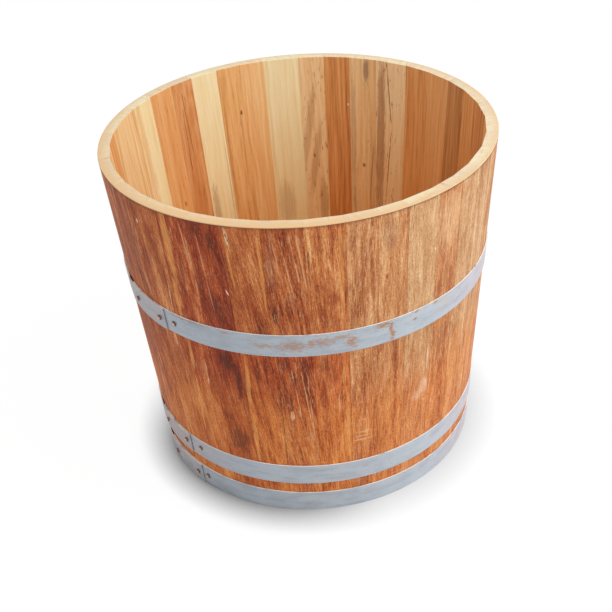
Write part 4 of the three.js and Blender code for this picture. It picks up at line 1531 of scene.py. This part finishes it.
@dataclass
class RivetSet:
    """The domed rivets that close the hoops' laps.

    Attributes:
        wall: The wall that they are driven into.
        head_radius: Of the dome.
        head_height: Of the dome.
        shank_radius: Of the shank.
        shank_length: Behind the head.
        clearance: Round the shank, in its hole.
        driven_in: How far the head is pressed on towards the strip.
        dents: How deep the hammer's marks are.
        rows: How many segments the whole ball has round and up.
        drill_sides: How many sides the cutter of a hole has.
        finish: The metal's finish.
    """

    wall: Wall
    head_radius: float = 3.5 * MM
    head_height: float = 2 * MM
    shank_radius: float = 1.6 * MM
    shank_length: float = 11 * MM
    clearance: float = 0.15 * MM
    driven_in: float = 0.15 * MM
    dents: float = 0.06 * MM
    rows: tuple[int, int] = (32, 16)
    drill_sides: int = 24
    finish: CopperHead = field(default_factory=CopperHead)

    def names(self) -> list[str]:
        """The rivets' CAD nodes."""
        return sorted(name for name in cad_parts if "_rivet_" in name)

    def seat(self, name: str) -> tuple[Vector, Vector]:
        """Where a rivet's head sits.

        Args:
            name: Its CAD node.

        Returns:
            The middle of the head's underside, and the direction that the head faces.
        """
        points = node_points(name)
        outward = self.wall.outward(plan_angle(sum(points, Vector())))
        crown = max(points, key=outward.dot)
        return crown - outward * (self.head_height + self.driven_in), outward

    def drills(self) -> dict[float, bpy.types.Object]:
        """Makes the cutter of each rivet's hole.

        Returns:
            The cutters, by their angle round the tub.
        """
        drills = {}
        for name in self.names():
            seat, outward = self.seat(name)
            start_clean()
            depth = self.shank_length + self.clearance
            bpy.ops.mesh.primitive_cylinder_add(
                vertices=self.drill_sides,
                radius=self.shank_radius + self.clearance,
                depth=depth + MM,
                location=seat - outward * (depth - MM) / 2,
                rotation=outward.to_track_quat("Z", "Y").to_euler(),
            )
            drills[plan_angle(seat)] = settle(bpy.context.object, f"{name}_drill")
        return drills

    def forge(self) -> bpy.types.Object:
        """Makes a rivet: half a ball pressed flat, with its shank drawn out of the underside.

        Returns:
            The rivet, with the middle of its head's underside at the origin.
        """
        start_clean()
        segments, rings = self.rows
        bpy.ops.mesh.primitive_uv_sphere_add(segments=segments, ring_count=rings, radius=self.head_radius)
        rivet = bpy.context.object
        with edit_mode(rivet):
            saw_off(Vector((0, 0, 0)), Vector((0, 0, -1)))
            bpy.ops.mesh.select_all(action="SELECT")
            bpy.ops.transform.resize(value=(1, 1, self.head_height / self.head_radius))
            pick_faces(rivet, lambda _, normal: normal.z < -0.9)
            bpy.ops.mesh.inset(thickness=self.head_radius - self.shank_radius)
            bpy.ops.mesh.extrude_region_move(TRANSFORM_OT_translate={"value": (0, 0, -self.shank_length)})
        smooth_shade(rivet, 50.0)
        return rivet

    def strike(self, pattern: bpy.types.Object, number: int) -> bpy.types.Object:
        """Copies the rivet and dents the copy's head in its own way.

        Args:
            pattern: The forged rivet.
            number: Makes the dents its own.

        Returns:
            The copy, with its own mesh.
        """
        rivet = bpy.data.objects.new("rivet", pattern.data.copy())
        bpy.context.scene.collection.objects.link(rivet)
        start_clean()
        with edit_mode(rivet):
            pick_faces(rivet, lambda centre, _: centre.z > 0.3 * self.head_height)
            bpy.ops.transform.vertex_random(offset=self.dents, seed=number)
        return rivet

    def build(self) -> None:
        """Makes, drives and dresses every rivet."""
        pattern = self.forge()
        for number, name in enumerate(self.names()):
            rivet = self.strike(pattern, number)
            seat, outward = self.seat(name)
            turned = outward.to_track_quat("Z", "Y").to_matrix().to_4x4()
            rivet.matrix_world = Matrix.Translation(seat) @ turned
            settle(rivet, f"dressed_{name}")
            paint(rivet, self.finish.dress(name, seat, self.head_radius, number * 1.7))
            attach(rivet, "root")
            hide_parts(name)
            LOG.info("%s: %d faces", rivet.name, len(rivet.data.polygons))
        drop(pattern)


# --- Floor ---


@dataclass(frozen=True)
class FloorWood:
    """Raw sawn floor boards.

    Attributes:
        timbers: Their tones, one board after another.
        pore: The tone of the pores.
    """

    timbers: tuple[Timber, ...] = (Timber.OCHRE, Timber.HONEY, Timber.RUSSET, Timber.STRAW)
    pore: int = 0x6A3C1E

    def dress(self, name: str, number: int, origin: Vector, along_y: bool = False) -> bpy.types.Material:
        """Makes the material of one board or dowel.

        Args:
            name: Its name.
            number: Picks its tones and makes its grain its own.
            origin: Its middle.
            along_y: Whether its grain runs along Y or along X.

        Returns:
            The material.
        """
        bench = Bench(f"{name}_wood")
        turn = (math.radians(-90), 0.0, 0.0) if along_y else (0.0, math.radians(90), 0.0)
        place = bench.place(tuple(origin), turn)
        seed = 40 + number * 4.3
        rings = growth_rings(bench, place, Figure.ARCHED if number % 2 else Figure.SLANTED, seed)
        clouds = bench.grain(place, (0.03, 0.02, 0.2), seed + 1, 2.0)
        fibres = bench.grain(place, (0.003, 0.0016, 0.05), seed + 2, 4.0, 0.65)
        pores = bench.grain(place, (0.0012, 0.001, 0.012), seed + 3, 1.0)
        tone = bench.blend(0.45, (rings, 1.0), (clouds, 0.8), (fibres, 0.8))
        timber = self.timbers[number % len(self.timbers)]
        colour = bench.ramp(tone, scale_of(RAW_STOPS, timber.value))
        pore_depth = bench.step(pores, 0.38, 0.30)
        colour = bench.mix(bench.times(pore_depth, 0.45), colour, linear(self.pore))
        height = bench.blend(0.5, (fibres, 1.0), (rings, 0.3), (pore_depth, -0.5))
        return bench.finish(
            Base_Color=colour,
            Roughness=0.66,
            Specular_IOR_Level=WOOD_SHINE,
            Normal=bench.relief(height, 0.3 * MM, 0.5),
        )


@dataclass
class TubFloor:
    """The floor: four boards edge to edge, bevelled round to a tongue that sits in the staves' groove.

    Attributes:
        wall: The wall that holds it.
        groove_depth: Of the croze, from the inside of the wall.
        groove_clearance: Between the tongue and the groove, all round.
        tongue: Thickness of the tongue.
        shoulder: How far inside the wall the tongue ends.
        bevel: How far in the bevel reaches.
        drain_radius: Of a drain hole.
        drain_spacing: Between the two drain holes of a board.
        dowel_radius: Of a dowel's hole.
        dowel_length: Of a dowel's hole.
        dowel_spacing: Between the two dowels of a joint.
        joint_gap: Between two boards.
        arris: How far the boards' edges are rounded.
        round_sides: How many sides the round floor and its groove have.
        bore_sides: How many sides a drilled hole has.
        finish: The boards' finish.
    """

    wall: Wall
    groove_depth: float = 5 * MM
    groove_clearance: float = 0.3 * MM
    tongue: float = 8 * MM
    shoulder: float = 2 * MM
    bevel: float = 14 * MM
    drain_radius: float = 10 * MM
    drain_spacing: float = 210 * MM
    dowel_radius: float = 4.3 * MM
    dowel_length: float = 30.6 * MM
    dowel_spacing: float = 200 * MM
    joint_gap: float = 0.3 * MM
    arris: float = 0.7 * MM
    round_sides: int = 240
    bore_sides: int = 48
    finish: FloorWood = field(default_factory=FloorWood)

    def boards(self) -> list[str]:
        """The boards' CAD nodes."""
        return sorted(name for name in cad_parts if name.startswith("floor_board_"))

    def middle(self) -> float:
        """The height of the floor's middle plane."""
        low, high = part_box(self.boards()[0])
        return (low.z + high.z) / 2

    def turn(self, name: str, profile: list[tuple[float, float]]) -> bpy.types.Object:
        """Turns a closed profile of [radius, height] points round the tub's axis.

        Args:
            name: The turned piece's name.
            profile: The points, in order. The first and last are joined.

        Returns:
            The piece.
        """
        start_clean()
        bpy.ops.mesh.primitive_circle_add(vertices=len(profile))
        piece = bpy.context.object
        for vertex, (radius, height) in zip(piece.data.vertices, profile):
            vertex.co = (radius, 0.0, height)
        with edit_mode(piece):
            bpy.ops.mesh.select_all(action="SELECT")
            bpy.ops.mesh.spin(steps=self.round_sides, angle=math.tau, center=(0, 0, 0), axis=(0, 0, 1))
            close_up(10 * WELD)
        piece.name = name
        return piece

    def croze(self) -> bpy.types.Object:
        """Makes the cutter of the groove round the inside of the wall.

        Returns:
            The cutter.
        """
        reach = self.tongue / 2 + self.groove_clearance
        deep = self.wall.radius(self.middle()) - self.wall.thickness + self.groove_depth
        mouth = deep - self.groove_depth - self.wall.thickness
        low, high = self.middle() - reach, self.middle() + reach
        return self.turn("croze", [(mouth, low), (deep, low), (deep, high), (mouth, high)])

    def disc(self) -> bpy.types.Object:
        """Makes the whole round floor: a tongue-thick disc with a bevelled plate drawn out of each face.

        Returns:
            The floor, not yet sawn into boards.
        """
        start_clean()
        inside = self.wall.radius(self.middle()) - self.wall.thickness
        radius = inside + self.groove_depth - self.groove_clearance
        bpy.ops.mesh.primitive_cylinder_add(
            vertices=self.round_sides, radius=radius, depth=self.tongue, location=(0, 0, self.middle()),
        )
        disc = bpy.context.object
        low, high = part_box(self.boards()[0])
        rise = (high.z - low.z - self.tongue) / 2
        bevel_start = radius - self.groove_depth - self.shoulder
        shrink = (bevel_start - self.bevel) / bevel_start
        for side in SIDES:
            with edit_mode(disc):
                pick_faces(disc, lambda _, normal: normal.z * side > 0.9)
                bpy.ops.mesh.inset(thickness=self.groove_depth + self.shoulder)
                bpy.ops.mesh.extrude_region_move(TRANSFORM_OT_translate={"value": (0, 0, side * rise)})
                bpy.ops.transform.resize(value=(shrink, shrink, 1.0), center_override=(0, 0, self.middle()))
        return settle(disc, "disc")

    def bore(self, radius: float, depth: float, centre: Vector, along_y: bool) -> bpy.types.Object:
        """Makes a cutter for a round hole.

        Args:
            radius: Of the hole.
            depth: Of the hole.
            centre: Of the hole.
            along_y: Whether it lies along Y or stands upright.

        Returns:
            The cutter.
        """
        start_clean()
        tilt = (math.radians(90), 0.0, 0.0) if along_y else (0.0, 0.0, 0.0)
        bpy.ops.mesh.primitive_cylinder_add(
            vertices=self.bore_sides, radius=radius, depth=depth, location=centre, rotation=tilt,
        )
        return settle(bpy.context.object, "bore")

    def board(self, name: str) -> bpy.types.Object:
        """Saws one board out of the round floor and rounds its edges.

        Args:
            name: The board's CAD node.

        Returns:
            The board, without its dowel holes.
        """
        start_clean()
        low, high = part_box(name)
        middle = (low + high) / 2
        size = (3 * self.wall.foot_radius, high.y - low.y, 3 * (high.z - low.z))
        bpy.ops.mesh.primitive_cube_add(size=1.0, location=(0.0, middle.y, middle.z), scale=size)
        board = settle(bpy.context.object, f"dressed_{name}")
        disc = self.disc()
        carve(board, disc, "INTERSECT")
        drop(disc)
        if name not in (self.boards()[0], self.boards()[-1]):
            for side in SIDES:
                centre = Vector((side * self.drain_spacing / 2, middle.y, middle.z))
                drain = self.bore(self.drain_radius, 2 * size[2], centre, along_y=False)
                carve(board, drain)
                drop(drain)
        corner = math.radians(45)
        finish_with(board, "BEVEL", limit_method="ANGLE", angle_limit=corner, width=self.arris, segments=2)
        return board

    def build(self) -> None:
        """Makes and dresses the boards, and dresses the dowels."""
        joints = [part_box(name)[1].y for name in self.boards()[:-1]]
        for number, name in enumerate(self.boards(), 1):
            board = self.board(name)
            low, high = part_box(name)
            for joint in (y for y in joints if low.y - MM < y < high.y + MM):
                for side in SIDES:
                    across = side * self.dowel_spacing / 2
                    centre = Vector((across, joint + self.joint_gap / 2, self.middle()))
                    hole = self.bore(self.dowel_radius, self.dowel_length, centre, along_y=True)
                    carve(board, hole)
                    drop(hole)
            smooth_shade(board)
            paint(board, self.finish.dress(name, number, (low + high) / 2))
            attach(board, "root")
            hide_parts(name)
            LOG.info("%s: %d faces", board.name, len(board.data.polygons))
        dowels = sorted(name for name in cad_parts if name.startswith("floor_dowel_"))
        for number, name in enumerate(dowels):
            low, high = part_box(name)
            paint(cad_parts[name], self.finish.dress(name, number, (low + high) / 2, along_y=True))
            LOG.info("%s: dressed as it is", name)


# --- The studio ---


@dataclass(frozen=True)
class Studio:
    """A white room with a pale floor, one large soft lamp on the right and the camera.

    Attributes:
        floor_size: Of the floor.
        floor_drop: How far it lies under the foot, so that no two faces share a place.
        paper_shade: How much of the floor's white is lit by the room and the lamp.
        paper_glow: How much of it is its own, away from the tub.
        shadow_reach: How far the painted soft shadow round the foot reaches on the floor.
        shadow_depth: How dark it is, before its side is weighed in.
        shadow_side: The angle of the side on which it is darkest.
        fill: How strongly the white room lights the tub from all round.
        key_power: Of the lamp, in watts.
        key_size: Of the lamp.
        key_from: Where the lamp stands: its angle and its height above the horizon, in degrees, and how far.
        key_aim: The height on the tub's axis that it shines at.
        camera_place: Where the camera stands.
        camera_pitch: How far it looks down, in degrees.
        camera_yaw: How far it looks to the right of +Y, in degrees.
        camera_roll: How far it is turned clockwise, in degrees.
        lens: In millimetres, on a sensor 36 mm wide.
    """

    floor_size: float = 14.0
    floor_drop: float = 0.1 * MM
    paper_shade: float = 0.07
    paper_glow: float = 0.945
    shadow_reach: float = 72 * MM
    shadow_depth: float = 0.5
    shadow_side: float = 228.0
    fill: float = 0.725
    key_power: float = 36.5
    key_size: float = 2.4
    key_from: Triple = (335.0, 50.0, 2.6)
    key_aim: float = 250 * MM
    camera_place: Triple = (0.0, -1.1977, 0.9986)
    camera_pitch: float = 34.51
    camera_yaw: float = -0.275
    camera_roll: float = 4.366
    lens: float = 60.75

    def build(self) -> None:
        """Sets the room, the lamp and the camera."""
        self.lay_floor()
        self.light()
        self.set_camera()
        bpy.context.scene.view_settings.view_transform = "Standard"

    def lay_floor(self) -> None:
        """Lays the floor, which shows white to the camera but for the tub's shadow: a faint real one and a
        painted one round the foot.
        """
        start_clean()
        bpy.ops.mesh.primitive_plane_add(size=self.floor_size, location=(0, 0, -self.floor_drop))
        floor = bpy.context.object
        floor.name = "studio_floor"
        bench = Bench("studio_paper")
        paper = bench.add("BsdfDiffuse", {"Color": (*[self.paper_shade] * 3, 1.0)})
        # Painted shadow: the floor's glow is dimmed near the foot by how much of the sky the tub hides, most
        # on the front-left side.
        open_sky = bench.add("AmbientOcclusion", {"Distance": self.shadow_reach}, samples=16).outputs["AO"]
        shade = bench.add("MapRange", {
            "Value": open_sky, "From Min": 0.45, "From Max": 0.88, "To Min": self.shadow_depth, "To Max": 0.0,
        })
        turn = math.radians(self.shadow_side)
        side = (math.cos(turn), math.sin(turn), 0.0)
        facing = bench.vector("DOT_PRODUCT", bench.vector("NORMALIZE", bench.place()), side)
        lobe = bench.blend(1.13, (bench.step(facing, 0.4, 1.0), 1.1))
        painted_shadow = bench.times(shade.outputs[0], lobe)
        glow = bench.add("Emission", {"Strength": bench.math("SUBTRACT", self.paper_glow, painted_shadow)})
        lit = bench.add("AddShader", {0: paper.outputs[0], 1: glow.outputs[0]})
        plain = bench.add("BsdfDiffuse", {"Color": (0.8, 0.8, 0.8, 1.0)})
        rays = bench.add("LightPath").outputs
        seen = bench.math("MAXIMUM", rays["Is Camera Ray"], rays["Is Glossy Ray"])
        seen = bench.math("MAXIMUM", seen, rays["Is Transmission Ray"])
        choice = bench.add("MixShader", {0: seen, 1: plain.outputs[0], 2: lit.outputs[0]})
        bench.add("OutputMaterial", {"Surface": choice.outputs[0]})
        floor.data.materials.append(bench.material)

    def light(self) -> None:
        """Lights the tub by a room that every direct look shows as white, and adds the lamp."""
        world = bpy.data.worlds.new("white_room")
        world.use_nodes = True
        bpy.context.scene.world = world
        tree = world.node_tree
        rays = tree.nodes.new("ShaderNodeLightPath")
        seen = rays.outputs["Is Camera Ray"]
        for kind in ("Is Glossy Ray", "Is Transmission Ray"):
            either = tree.nodes.new("ShaderNodeMath")
            either.operation = "MAXIMUM"
            tree.links.new(seen, either.inputs[0])
            tree.links.new(rays.outputs[kind], either.inputs[1])
            seen = either.outputs[0]
        strength = tree.nodes.new("ShaderNodeMapRange")
        strength.inputs["To Min"].default_value = self.fill
        strength.inputs["To Max"].default_value = 1.0
        tree.links.new(seen, strength.inputs["Value"])
        backdrop = tree.nodes["Background"]
        backdrop.inputs["Color"].default_value = (1.0, 1.0, 1.0, 1.0)
        tree.links.new(strength.outputs[0], backdrop.inputs["Strength"])
        self.hang_lamp()

    def hang_lamp(self) -> None:
        """Hangs the one large lamp and turns it to the tub."""
        angle, rise, distance = self.key_from
        turn = math.radians(angle)
        level = distance * math.cos(math.radians(rise))
        height = distance * math.sin(math.radians(rise))
        place = Vector((level * math.cos(turn), level * math.sin(turn), height))
        bpy.ops.object.light_add(type="AREA", location=place)
        lamp = bpy.context.object
        lamp.name = "key_lamp"
        lamp.data.energy = self.key_power
        lamp.data.shape = "DISK"
        lamp.data.size = self.key_size
        aim = Vector((0.0, 0.0, self.key_aim)) - place
        lamp.rotation_euler = aim.to_track_quat("-Z", "Y").to_euler()

    def set_camera(self) -> None:
        """Sets the camera where the tub is seen from the front and above."""
        camera = bpy.data.objects.new("camera", bpy.data.cameras.new("camera"))
        bpy.context.scene.collection.objects.link(camera)
        camera.data.lens = self.lens
        yaw = Matrix.Rotation(math.radians(-self.camera_yaw), 4, "Z")
        pitch = Matrix.Rotation(math.radians(90 - self.camera_pitch), 4, "X")
        roll = Matrix.Rotation(math.radians(-self.camera_roll), 4, "Z")
        camera.matrix_world = Matrix.Translation(self.camera_place) @ yaw @ pitch @ roll
        bpy.context.scene.camera = camera


def main() -> None:
    """Builds the studio, then the tub from the wall outwards."""
    logging.basicConfig(level=logging.INFO, format="%(name)s: %(message)s")
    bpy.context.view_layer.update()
    Studio().build()
    wall = Wall.measure()
    rivets = RivetSet(wall)
    floor = TubFloor(wall)
    croze = floor.croze()
    drills = rivets.drills()
    StaveWall(wall).build(croze, drills)
    HoopSet(wall).build(drills)
    for cutter in [croze, *drills.values()]:
        drop(cutter)
    rivets.build()
    floor.build()


if __name__ == "__main__":
    main()
